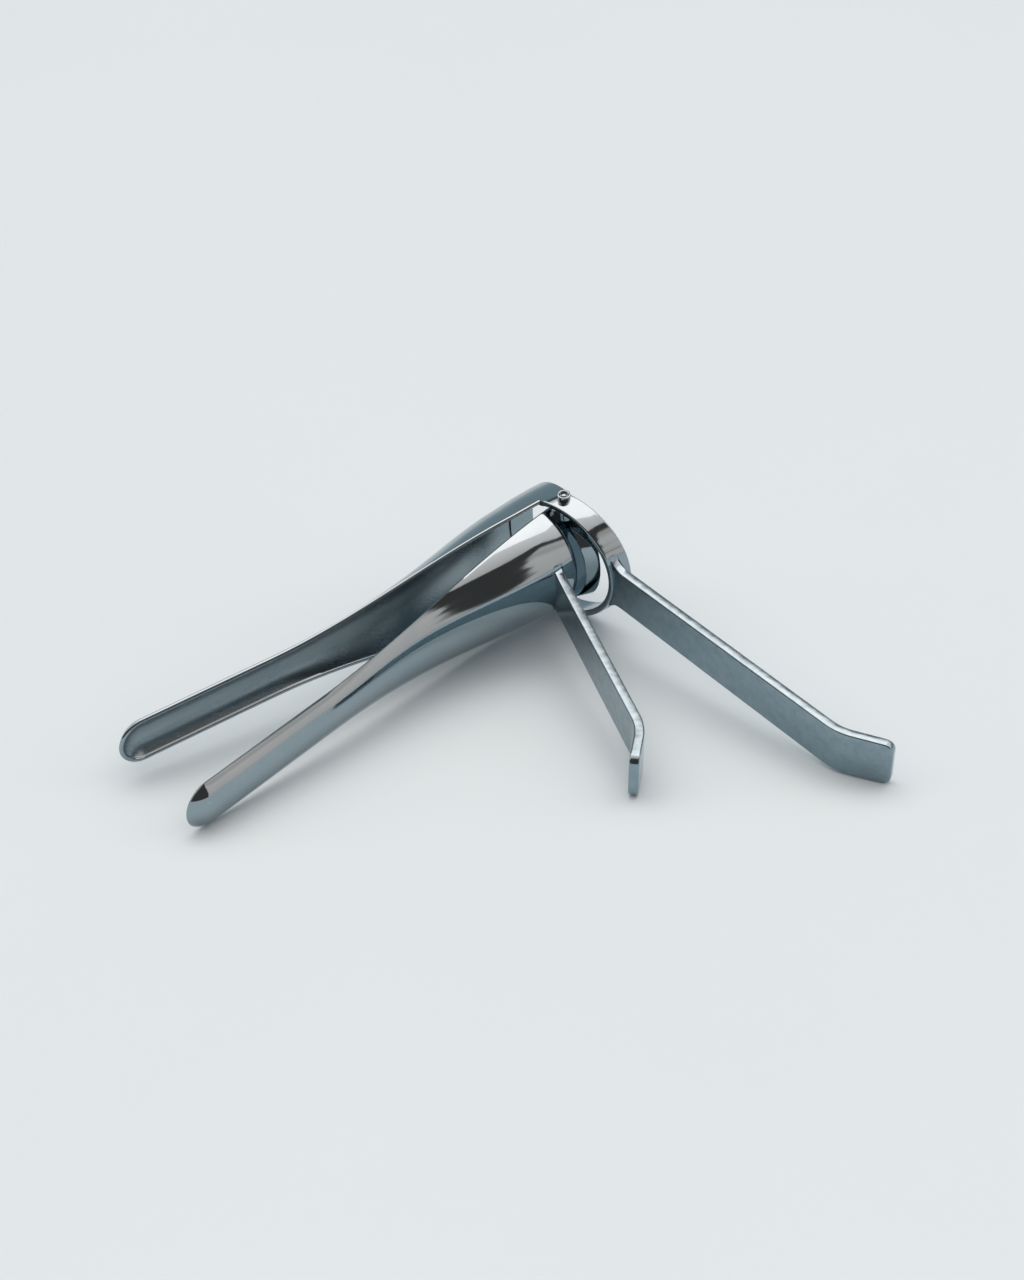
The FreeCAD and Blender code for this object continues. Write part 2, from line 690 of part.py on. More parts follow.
def resting_corners(points, centre):
    """Three points of the underside whose triangle carries the centre of mass."""
    corners = [vec(FAR, 0, FAR), vec(-FAR, FAR, FAR), vec(-FAR, -FAR, FAR)]
    while True:
        lowest = min(points, key=lambda point: point.z - plane_height(corners, point))
        if lowest.z - plane_height(corners, lowest) > -SETTLED:
            return corners
        for index in range(3):
            trial = corners[:index] + [lowest] + corners[index + 1:]
            if covers(trial, centre):
                corners = trial
                break


def placed_half(shape, turn):
    """Copy of a shape moved by a turn."""
    moved = shape.copy()
    moved.Placement = turn.multiply(moved.Placement)
    return moved


def set_down():
    """Poses both halves as photographed, then lays them together on the XY plane."""
    heading = size("rear_heading")
    up = vec(0, 0, 1)
    turns = [
        FreeCAD.Placement(vec(0, 0, 0), FreeCAD.Rotation(up, heading)),
        FreeCAD.Placement(vec(0, 0, 0), FreeCAD.Rotation(up, heading + size("opening"))),
    ]
    posed = []
    for turn, pieces in zip(turns, (rear_pieces, front_pieces)):
        for piece in pieces:
            posed += placed_half(piece.Shape, turn).Solids
    volume = sum(shape.Volume for shape in posed)
    centre = vec(0, 0, 0)
    for shape in posed:
        centre += shape.CenterOfMass * (shape.Volume / volume)
    points = [point for shape in posed for point in tessellated(shape)]
    first, second, third = resting_corners(points, centre)
    normal = (second - first).cross(third - first)
    normal = normal if normal.z > 0 else -normal
    tilt = FreeCAD.Rotation(normal, up)
    laid = [tilt.multVec(point) for point in points]
    low = vec(min(p.x for p in laid), min(p.y for p in laid), min(p.z for p in laid))
    high = vec(max(p.x for p in laid), max(p.y for p in laid), 0)
    lie = FreeCAD.Placement(vec(-(low.x + high.x) / 2, -(low.y + high.y) / 2, -low.z), tilt)
    for turn, pieces in zip(turns, (rear_pieces, front_pieces)):
        for piece in pieces:
            piece.Placement = lie.multiply(turn).multiply(piece.Placement)
    doc.recompute()
    return lie


lie = set_down()

for item in doc.Objects:
    if "Invalid" in item.State or "Error" in item.State:
        raise ValueError(f"{item.Name} has not been built")
os.makedirs("parts", exist_ok=True)
for piece in rear_pieces + front_pieces:
    if piece.Shape.isNull() or not piece.Shape.isValid():
        raise ValueError(f"{piece.Label} has no valid shape")
    piece.Shape.exportStep(f"parts/{piece.Label}.step")
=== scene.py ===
"""Studio scene of a bivalve speculum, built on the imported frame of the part.

Each half is modelled in its own frame in millimetres: the hinge is Z, X runs to the blade
tip and Y to the handle. A HalfFrame turns those points into the part's frame in metres.
"""

import json
import logging
import math
from collections.abc import Callable, Sequence
from dataclasses import dataclass, field
from enum import Enum
from typing import Any

import bmesh
import bpy
import numpy as np
from mathutils import Matrix, Vector

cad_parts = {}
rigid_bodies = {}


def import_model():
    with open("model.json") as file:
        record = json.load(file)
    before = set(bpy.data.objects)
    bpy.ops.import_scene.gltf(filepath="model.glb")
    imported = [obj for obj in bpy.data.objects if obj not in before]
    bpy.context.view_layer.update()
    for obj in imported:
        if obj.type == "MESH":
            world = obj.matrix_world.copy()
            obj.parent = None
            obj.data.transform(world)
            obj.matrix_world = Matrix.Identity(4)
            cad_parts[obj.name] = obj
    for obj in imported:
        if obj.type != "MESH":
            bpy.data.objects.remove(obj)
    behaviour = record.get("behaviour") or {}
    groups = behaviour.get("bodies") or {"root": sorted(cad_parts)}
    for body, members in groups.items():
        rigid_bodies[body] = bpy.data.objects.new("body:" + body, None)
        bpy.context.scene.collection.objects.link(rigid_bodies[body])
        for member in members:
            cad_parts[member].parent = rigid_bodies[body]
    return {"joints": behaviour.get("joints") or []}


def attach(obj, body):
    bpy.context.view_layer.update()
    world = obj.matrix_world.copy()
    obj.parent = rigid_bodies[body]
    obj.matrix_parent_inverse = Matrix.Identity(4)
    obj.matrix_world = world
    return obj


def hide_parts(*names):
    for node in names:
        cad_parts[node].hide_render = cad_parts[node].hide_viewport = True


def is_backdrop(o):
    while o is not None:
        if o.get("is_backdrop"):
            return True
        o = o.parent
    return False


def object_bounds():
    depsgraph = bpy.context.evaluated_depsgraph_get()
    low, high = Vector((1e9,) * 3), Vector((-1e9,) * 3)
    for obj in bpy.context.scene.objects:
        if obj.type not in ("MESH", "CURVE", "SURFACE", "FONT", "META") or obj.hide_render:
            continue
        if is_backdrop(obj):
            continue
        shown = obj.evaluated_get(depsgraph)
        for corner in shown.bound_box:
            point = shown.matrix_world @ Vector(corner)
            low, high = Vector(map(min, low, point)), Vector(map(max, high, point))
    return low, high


LOG = logging.getLogger("speculum")

MM = 0.001
WELD_MM = 0.0005
SHARP_ANGLE = math.radians(38.0)
QUARTER = math.pi / 2

Triple = tuple[float, float, float]


class Side(Enum):
    """Which way a trough or a bend opens, along its half's Y axis."""

    REAR = -1
    FRONT = 1


@dataclass(frozen=True)
class HalfFrame:
    """Frame of one half of the instrument.

    Attributes:
        body: Name of the CAD body that the half's pieces ride on.
        matrix: Turns points of the half, in millimetres, into the part's frame, in metres.
    """

    body: str
    matrix: Matrix

    @classmethod
    def about_hinge(
        cls, body: str, hinge: Sequence[float], axis: Sequence[float], heading: Vector, turn: float
    ) -> "HalfFrame":
        """Makes the frame of a half that is turned about the hinge.

        Args:
            body: Name of the CAD body.
            hinge: Point on the hinge axis, in metres.
            axis: Direction of the hinge axis.
            heading: Direction from the hinge to the rear blade's tip.
            turn: Angle from the rear half, in degrees.

        Returns:
            The frame of the half.
        """
        up = Vector(axis).normalized()
        along = (heading - up * heading.dot(up)).normalized()
        along = Matrix.Rotation(math.radians(turn), 3, up) @ along
        rotation = Matrix((along, up.cross(along), up)).transposed().to_4x4()
        place = Matrix.Translation(Vector(hinge)) @ rotation @ Matrix.Scale(MM, 4)
        return cls(body, place)


class Shell:
    """Mesh under construction: grids of points in a half's frame that are welded together."""

    def __init__(self, name: str, half: HalfFrame) -> None:
        """Starts an empty mesh.

        Args:
            name: Name of the object to be built.
            half: Frame that the points are given in.
        """
        self.name = name
        self.half = half
        self.points: list[np.ndarray] = []
        self.grain: list[np.ndarray] = []
        self.faces: list[tuple[int, ...]] = []
        self.count = 0

    def grid(
        self, points: np.ndarray, wrap_columns: bool = False, wrap_rows: bool = False,
        lining: np.ndarray | float = 0.0,
    ) -> None:
        """Adds a grid of quads.

        Args:
            points: Array of rows by columns by three, in millimetres.
            wrap_columns: Whether the last column joins the first.
            wrap_rows: Whether the last row joins the first.
            lining: Share of inner surface, for each column or for all.
        """
        rows, columns = points.shape[:2]
        along = np.linalg.norm(np.diff(points, axis=0, prepend=points[:1]), axis=2).cumsum(axis=0)
        around = np.linalg.norm(np.diff(points, axis=1, prepend=points[:, :1]), axis=2).cumsum(axis=1)
        self.points.append(points.reshape(-1, 3))
        inside = np.broadcast_to(lining, (rows, columns))
        self.grain.append(np.stack([along, around, inside], axis=2).reshape(-1, 3))
        for row in range(rows if wrap_rows else rows - 1):
            following = (row + 1) % rows
            for column in range(columns if wrap_columns else columns - 1):
                beside = (column + 1) % columns
                self.faces.append((
                    self.count + row * columns + column,
                    self.count + row * columns + beside,
                    self.count + following * columns + beside,
                    self.count + following * columns + column,
                ))
        self.count += rows * columns

    def lathe(self, profile: np.ndarray, steps: int = 96) -> None:
        """Adds a profile of radius and height turned about the Z axis.

        Args:
            profile: Points of the profile, as radius and height.
            steps: Number of segments round the axis.
        """
        turns = np.linspace(0, 2 * math.pi, steps, endpoint=False)
        radius, height = profile.T
        rows = np.stack([
            np.outer(np.cos(turns), radius),
            np.outer(np.sin(turns), radius),
            np.outer(np.ones(steps), height),
        ], axis=2)
        self.grid(rows, wrap_rows=True)

    def build(self) -> bpy.types.Object:
        """Welds the grids and links the object to the scene.

        Returns:
            The mesh object, in the part's frame.
        """
        mesh = bpy.data.meshes.new(self.name)
        mesh.from_pydata(np.concatenate(self.points).tolist(), [], self.faces)
        grain = mesh.attributes.new("grain", "FLOAT_VECTOR", "POINT")
        grain.data.foreach_set("vector", np.concatenate(self.grain).ravel().astype(np.float32))
        work = bmesh.new()
        work.from_mesh(mesh)
        bmesh.ops.remove_doubles(work, verts=work.verts, dist=WELD_MM)
        bmesh.ops.dissolve_degenerate(work, edges=work.edges, dist=WELD_MM)
        open_edges = [edge for edge in work.edges if edge.is_boundary]
        if open_edges:
            bmesh.ops.holes_fill(work, edges=open_edges, sides=0)
        bmesh.ops.recalc_face_normals(work, faces=work.faces)
        work.to_mesh(mesh)
        work.free()
        mesh.transform(self.half.matrix)
        shade(mesh)
        return linked(self.name, mesh)


def linked(name: str, data: bpy.types.ID) -> bpy.types.Object:
    """Makes an object and links it to the scene.

    Args:
        name: Name of the object.
        data: Its mesh, lamp or camera.

    Returns:
        The object.
    """
    made = bpy.data.objects.new(name, data)
    bpy.context.scene.collection.objects.link(made)
    return made


def shade(mesh: bpy.types.Mesh) -> None:
    """Shades a mesh smooth, with its real edges kept sharp.

    Args:
        mesh: Mesh to be shaded.
    """
    mesh.shade_smooth()
    mesh.set_sharp_from_angle(angle=SHARP_ANGLE)


def arc(
    centre: Sequence[float], radii: tuple[float, float], start: float, end: float, count: int
) -> np.ndarray:
    """Points along part of an ellipse.

    Args:
        centre: Middle of the ellipse.
        radii: Its two half axes.
        start: First angle.
        end: Last angle.
        count: Number of points.

    Returns:
        Array of points by two.
    """
    turns = np.linspace(start, end, count)
    return np.array(centre) + np.stack([radii[0] * np.cos(turns), radii[1] * np.sin(turns)], axis=1)


def eased(share: np.ndarray | float) -> np.ndarray | float:
    """Share of the mouth's extra size that is left along the taper.

    Args:
        share: Way along the taper, from 0 at the mouth to 1 at its end.

    Returns:
        Value from 1 at the mouth to 0 at the end.
    """
    return (1 + np.cos(math.pi * np.clip(share, 0, 1))) / 2


@dataclass(frozen=True)
class Swell:
    """Slow growth from the blade to the ring round the entrance.

    Attributes:
        start: Station of the ring's back edge.
        end: Station where the growth has died out.
        height: Growth at the ring's back edge.
    """

    start: float = -2.4
    end: float = 14.0
    height: float = 0.9

    def at(self, station: np.ndarray | float) -> np.ndarray | float:
        """Growth at a station.

        Args:
            station: Distance from the hinge along the blade.

        Returns:
            What is added to the blade's outer radius.
        """
        share = np.clip((station - self.start) / (self.end - self.start), 0, 1)
        return self.height * (1 - share * share * (3 - 2 * share))


@dataclass(frozen=True)
class Trough:
    """Wall of one blade: circular bows over a rim line, tapering to a rounded tip.

    Attributes:
        side: Which way the trough is sunk from its rim line.
        rim: Distance of the rim line from the hinge axis, along Y.
        start: Station of the mouth, along X.
        mouth_half_width: Half width of the mouth's outer bow.
        mouth_depth: Depth of the mouth's outer bow.
        tip_depth: Depth at the tip.
        wall: Thickness of the wall.
        length: Distance from the hinge to the tip's end.
        taper: Length over which the mouth narrows.
        tip_half_width: Half width at the tip.
        columns: Number of segments across a bow.
        rim_steps: Number of segments round a rim.
        loops: Number of loops from the mouth to the centre of the tip.
        swell: Growth towards the ring, for a blade that has one.
    """

    side: Side
    rim: float
    start: float
    mouth_half_width: float
    mouth_depth: float
    tip_depth: float
    wall: float = 1.2
    length: float = 128.0
    taper: float = 80.0
    tip_half_width: float = 6.9
    columns: int = 72
    rim_steps: int = 10
    loops: int = 150
    swell: Swell | None = None

    def outer_size(self, station: np.ndarray | float) -> tuple[np.ndarray, np.ndarray]:
        """Half width and depth of the outer bow at a station.

        Args:
            station: Distance from the hinge along the blade.

        Returns:
            Half width and depth.
        """
        left = eased((station - self.start) / self.taper)
        width = self.tip_half_width + (self.mouth_half_width - self.tip_half_width) * left
        depth = self.tip_depth + (self.mouth_depth - self.tip_depth) * left ** 2
        growth = self.swell.at(station) if self.swell else 0.0
        return width + growth, depth + growth

    def bow(self, width: float, depth: float) -> np.ndarray:
        """Points of a bow from one rim to the other.

        Args:
            width: Half width of the bow.
            depth: Depth of the bow.

        Returns:
            Array of columns by two: depth and height.
        """
        radius = (width ** 2 + depth ** 2) / (2 * depth)
        reach = math.atan2(width, radius - depth)
        return arc((depth - radius, 0.0), (radius, radius), reach, -reach, self.columns + 1)

    def loop(self, width: float, depth: float) -> np.ndarray:
        """Closed outline of the wall at one station.

        Args:
            width: Half width of the outer bow.
            depth: Depth of the outer bow.

        Returns:
            Array of points by two: depth and height.
        """
        outer = self.bow(width, depth)
        inner = self.bow(width - self.wall, depth - self.wall)[::-1]
        half = self.wall / 2
        low, high = (
            arc((0.0, middle), (half, half), -QUARTER, -3 * QUARTER, self.rim_steps + 1)[1:-1]
            for middle in (half - width, width - half)
        )
        return np.concatenate([outer, low, inner, high])

    def lining(self) -> np.ndarray:
        """Marks the points of a loop that lie on the inner bow.

        Returns:
            One for inner points and zero for the others.
        """
        count = self.columns + 1
        marks = np.zeros(2 * count + 2 * (self.rim_steps - 1))
        marks[count + self.rim_steps - 1: 2 * count + self.rim_steps - 1] = 1
        return marks

    def tip_lining(self) -> np.ndarray:
        """Marks the points of a half loop that lie on the inner bow.

        Returns:
            One for inner points and zero for the others.
        """
        half = self.columns // 2
        outside = half + 1 + self.rim_steps - 1
        return np.repeat([0.0, 1.0], [outside, half + 1])

    def placed(self, station: np.ndarray | float, depth: np.ndarray, height: np.ndarray) -> np.ndarray:
        """Points of the half's frame.

        Args:
            station: Distance along the blade.
            depth: Distance from the rim line, into the trough.
            height: Height along the hinge axis.

        Returns:
            Array of points by three.
        """
        across = self.side.value * depth - self.rim
        return np.stack([np.broadcast_to(station, np.shape(depth)), across, height], axis=-1)

    def body_rows(self) -> np.ndarray:
        """Loops of the wall from the mouth to the centre of the tip.

        Returns:
            Array of stations by loop points by three.
        """
        rows = []
        for station in np.linspace(self.start, self.length - self.tip_half_width, self.loops):
            width, depth = self.outer_size(station)
            loop = self.loop(float(width), float(depth))
            rows.append(self.placed(station, loop[:, 0], loop[:, 1]))
        return np.array(rows)

    def tip_rows(self, steps: int = 48) -> np.ndarray:
        """Half loops turned about the middle of the tip.

        Args:
            steps: Number of segments round the tip.

        Returns:
            Array of turns by half loop points by three.
        """
        centre = self.length - self.tip_half_width
        loop = self.loop(self.tip_half_width, self.tip_depth)
        half = self.columns // 2
        outer = loop[: half + 1][::-1]
        count = self.columns + 1
        low_rim = count + self.rim_steps - 1
        inner = loop[low_rim + half: low_rim + count]
        high_rim = loop[low_rim + count:]
        profile = np.concatenate([outer, high_rim[::-1], inner[::-1]])
        rows = []
        for turn in np.linspace(0, math.pi, steps + 1):
            station = centre + profile[:, 1] * math.sin(turn)
            rows.append(self.placed(station, profile[:, 0], profile[:, 1] * math.cos(turn)))
        return np.array(rows)

    def surface_level(self, station: float, height: np.ndarray | float) -> np.ndarray | float:
        """Distance of the outer bow from the hinge plane, along Y.

        Args:
            station: Distance along the blade.
            height: Height along the hinge axis.

        Returns:
            Y coordinate of the outer surface.
        """
        width, depth = self.outer_size(station)
        radius = (width ** 2 + depth ** 2) / (2 * depth)
        return self.side.value * (depth - radius + np.sqrt(radius ** 2 - height ** 2)) - self.rim


@dataclass(frozen=True)
class RearBlade:
    """Blade that grows out of the collar."""

    trough: Trough = field(default_factory=lambda: Trough(
        side=Side.REAR, rim=3.65, start=5.0, mouth_half_width=math.sqrt(17.3 ** 2 - 3.65 ** 2),
        mouth_depth=17.3 - 3.65, tip_depth=3.7, swell=Swell(),
    ))

    def build(self, half: HalfFrame) -> bpy.types.Object:
        """Builds the blade's mesh.

        Args:
            half: Frame of the rear half.

        Returns:
            The mesh object.
        """
        shell = Shell("rear_blade_shell", half)
        shell.grid(self.trough.body_rows(), wrap_columns=True, lining=self.trough.lining())
        shell.grid(self.trough.tip_rows(), lining=self.trough.tip_lining())
        return shell.build()


@dataclass(frozen=True)
class FrontBlade:
    """Blade with a flared lip and two ears that run inside the collar.

    Attributes:
        trough: The blade's wall.
        lip_reach: Length of the lip before it is trimmed.
        lip_flare: Extra depth at the end of the lip.
        lip_back: Where the trimmed edge crosses the hinge plane, behind the hinge.
        lip_slant: Lean of the trimmed edge, in degrees.
        ear_radius: Radius of each ear pad.
        ear_bottom: Inner end of each ear pad, along the hinge axis.
        ear_top: Outer end of each ear pad.
        ear_bevel: Bevel of the ear pads' outer rims.
        hole_radius: Radius of the hole for the rivet.
        recess_radius: Radius of the recess round the rivet's head.
    """

    trough: Trough = field(default_factory=lambda: Trough(
        side=Side.FRONT, rim=2.35, start=2.4, mouth_half_width=15.2, mouth_depth=12.6,
        tip_depth=3.2,
    ))
    lip_reach: float = 7.1
    lip_flare: float = 4.4
    lip_back: float = 3.9
    lip_slant: float = 14.3
    ear_radius: float = 3.5
    ear_bottom: float = 13.65
    ear_top: float = 16.55
    ear_bevel: float = 0.25
    hole_radius: float = 1.15
    recess_radius: float = 2.7

    def lip_rows(self, steps: int = 16) -> np.ndarray:
        """Loops of the lip from its trimmed edge to the crease.

        Args:
            steps: Number of segments along the lip.

        Returns:
            Array of loops by points by three.
        """
        trough = self.trough
        near = trough.loop(trough.mouth_half_width, trough.mouth_depth)
        far = trough.loop(trough.mouth_half_width, trough.mouth_depth + self.lip_flare)
        start = trough.placed(trough.start, near[:, 0], near[:, 1])
        end = trough.placed(trough.start - self.lip_reach, far[:, 0], far[:, 1])
        run = math.tan(math.radians(self.lip_slant))
        before = start[:, 0] - start[:, 1] * run + self.lip_back
        after = end[:, 0] - end[:, 1] * run + self.lip_back
        cut = (before / (before - after))[:, None]
        edge = start + (end - start) * cut
        shares = np.linspace(1, 0, steps + 1)[:, None, None]
        return start + (edge - start) * shares

    def build(self, half: HalfFrame) -> bpy.types.Object:
        """Builds the blade's mesh with its lip, ears and recesses.

        Args:
            half: Frame of the front half.

        Returns:
            The mesh object.
        """
        shell = Shell("front_blade_shell", half)
        rows = np.concatenate([self.lip_rows()[:-1], self.trough.body_rows()])
        shell.grid(rows, wrap_columns=True, lining=self.trough.lining())
        shell.grid(self.trough.tip_rows())
        blade = shell.build()
        self.bore(blade, half)
        ears = Shell("ears", half)
        profile = np.array([
            (self.hole_radius, self.ear_bottom),
            (self.ear_radius, self.ear_bottom),
            (self.ear_radius, self.ear_top - self.ear_bevel),
            (self.ear_radius - self.ear_bevel, self.ear_top),
            (self.hole_radius, self.ear_top),
            (self.hole_radius, self.ear_bottom),
        ])
        for sign in (1, -1):
            ears.lathe(profile * (1, sign))
        join(blade, ears.build())
        return blade

    def bore(self, blade: bpy.types.Object, half: HalfFrame) -> None:
        """Cuts the recess for the rivet's heads through both side walls.

        Args:
            blade: The blade's mesh object.
            half: Frame of the front half.
        """
        drill = Shell("drill", half)
        corners = [(0, -1), (1, -1), (1, 1), (0, 1)]
        drill.lathe(np.array(corners) * (self.recess_radius, self.ear_top))
        cutter = drill.build()
        cut = blade.modifiers.new("recess", "BOOLEAN")
        cut.operation = "DIFFERENCE"
        cut.solver = "EXACT"
        cut.object = cutter
        applied(blade)
        bpy.data.objects.remove(cutter)


def applied(made: bpy.types.Object) -> None:
    """Applies an object's modifiers to its mesh.

    Args:
        made: Object whose modifiers are applied.
    """
    graph = bpy.context.evaluated_depsgraph_get()
    mesh = bpy.data.meshes.new_from_object(made.evaluated_get(graph))
    made.modifiers.clear()
    old = made.data
    made.data = mesh
    bpy.data.meshes.remove(old)
    shade(mesh)


def join(target: bpy.types.Object, other: bpy.types.Object) -> None:
    """Adds another object's mesh to a target and removes the other object.

    Args:
        target: Object that keeps both meshes.
        other: Object whose mesh is moved over.
    """
    work = bmesh.new()
    work.from_mesh(target.data)
    work.from_mesh(other.data)
    work.to_mesh(target.data)
    work.free()
    bpy.data.objects.remove(other)
    shade(target.data)


@dataclass(frozen=True)
class Collar:
    """Ring round the entrance: hood on the blade's side, leaning bow on the handle's side.

    Attributes:
        radius: Outer radius of the ring.
        blade_radius: Outer radius of the blade's mouth without the swell.
        wall: Thickness of the ring.
        front: Station of the edge that carries the blade.
        back: Distance of the back edge behind the hinge on the blade's side.
        front_lean: How far the front edge leans back at the top of the bow.
        back_lean: How far the back edge leans back at the top of the bow.
        rim: Distance of the blade's rim line from the hinge plane.
        seat_radius: Radius of the flat seats for the ears.
        seat_level: Height of the flat seats along the hinge axis.
        edge_radius: Rounding of the free edges.
        joined_radius: Rounding of the front edge where it meets the blade.
        free_from: Distance from the rim line where the front edge starts to be free.
        swell: Growth from the blade to the ring.
    """

    radius: float = 18.2
    blade_radius: float = 17.3
    wall: float = 1.6
    front: float = 5.0
    back: float = 2.4
    front_lean: float = 7.7
    back_lean: float = 6.6
    rim: float = 3.65
    seat_radius: float = 4.3
    seat_level: float = 16.65
    edge_radius: float = 0.4
    joined_radius: float = 0.01
    free_from: float = 1.0
    swell: Swell = Swell()

    def outer(self, station: np.ndarray) -> np.ndarray:
        """Outer radius at a station, eased from the ring to the blade.

        Args:
            station: Distance along the ring's axis.

        Returns:
            Outer radius.
        """
        return self.blade_radius + self.swell.at(station)

    def edges(self, across: float) -> tuple[float, float]:
        """Stations of the front and back edges at a distance across the ring.

        Args:
            across: Distance from the hinge plane, towards the handle.

        Returns:
            Station of the front edge and of the back edge.
        """
        reach = self.radius + self.wall
        rise = max(0.0, across + self.rim) / (reach + self.rim)
        front = self.front - self.front_lean * rise
        back = -self.back - self.back_lean * max(0.0, across) / reach
        return front, back

    def ring_loop(self, turn: float, steps: int = 28, round_steps: int = 6) -> np.ndarray:
        """Closed outline of the ring's wall at one turn about its axis.

        Args:
            turn: Angle from the handle's side.
            steps: Number of segments across each face.
            round_steps: Number of segments of each rounded edge.

        Returns:
            Array of points by three.
        """
        across = self.radius * math.cos(turn)
        front, back = self.edges(across)
        soft_back = self.edge_radius
        soft_front = self.edge_radius if across > self.free_from - self.rim else self.joined_radius
        outer_x = np.linspace(front - soft_front, back + soft_back, steps + 1)
        outer_r = self.outer(outer_x)
        inner_x = outer_x[::-1][1:]
        inner_r = self.outer(inner_x) - self.wall

        def corner(end: int, inset: float, soft: float, start: float) -> np.ndarray:
            """Quarter turn at one end of the wall, from its outer face inwards by the inset."""
            middle = (outer_x[end], outer_r[end] - inset)
            return arc(middle, (soft, soft), start, start + QUARTER, round_steps + 1)

        loop = np.concatenate([
            np.stack([outer_x, outer_r], axis=1),
            corner(-1, soft_back, soft_back, QUARTER)[1:],
            corner(-1, self.wall - soft_back, soft_back, 2 * QUARTER)[1:],
            np.stack([inner_x, inner_r], axis=1),
            corner(0, self.wall - soft_front, soft_front, -QUARTER)[1:],
            corner(0, soft_front, soft_front, 0.0)[:-1],
        ])
        around = np.array([math.cos(turn), math.sin(turn)])
        points = np.hstack([loop[:, :1], loop[:, 1:] * around])
        inside = points[steps + 1:]
        near = np.hypot(inside[:, 0], inside[:, 1]) < self.seat_radius
        flat = near & (np.abs(inside[:, 2]) < self.seat_level)
        inside[flat, 2] = np.sign(inside[flat, 2]) * self.seat_level
        return points

    def build(self, half: HalfFrame, steps: int = 288) -> bpy.types.Object:
        """Builds the collar's mesh.

        Args:
            half: Frame of the rear half.
            steps: Number of segments round the ring.

        Returns:
            The mesh object.
        """
        shell = Shell("collar_shell", half)
        loops = [self.ring_loop(turn) for turn in np.linspace(0, 2 * math.pi, steps, endpoint=False)]
        shell.grid(np.array(loops), wrap_columns=True, wrap_rows=True)
        return shell.build()


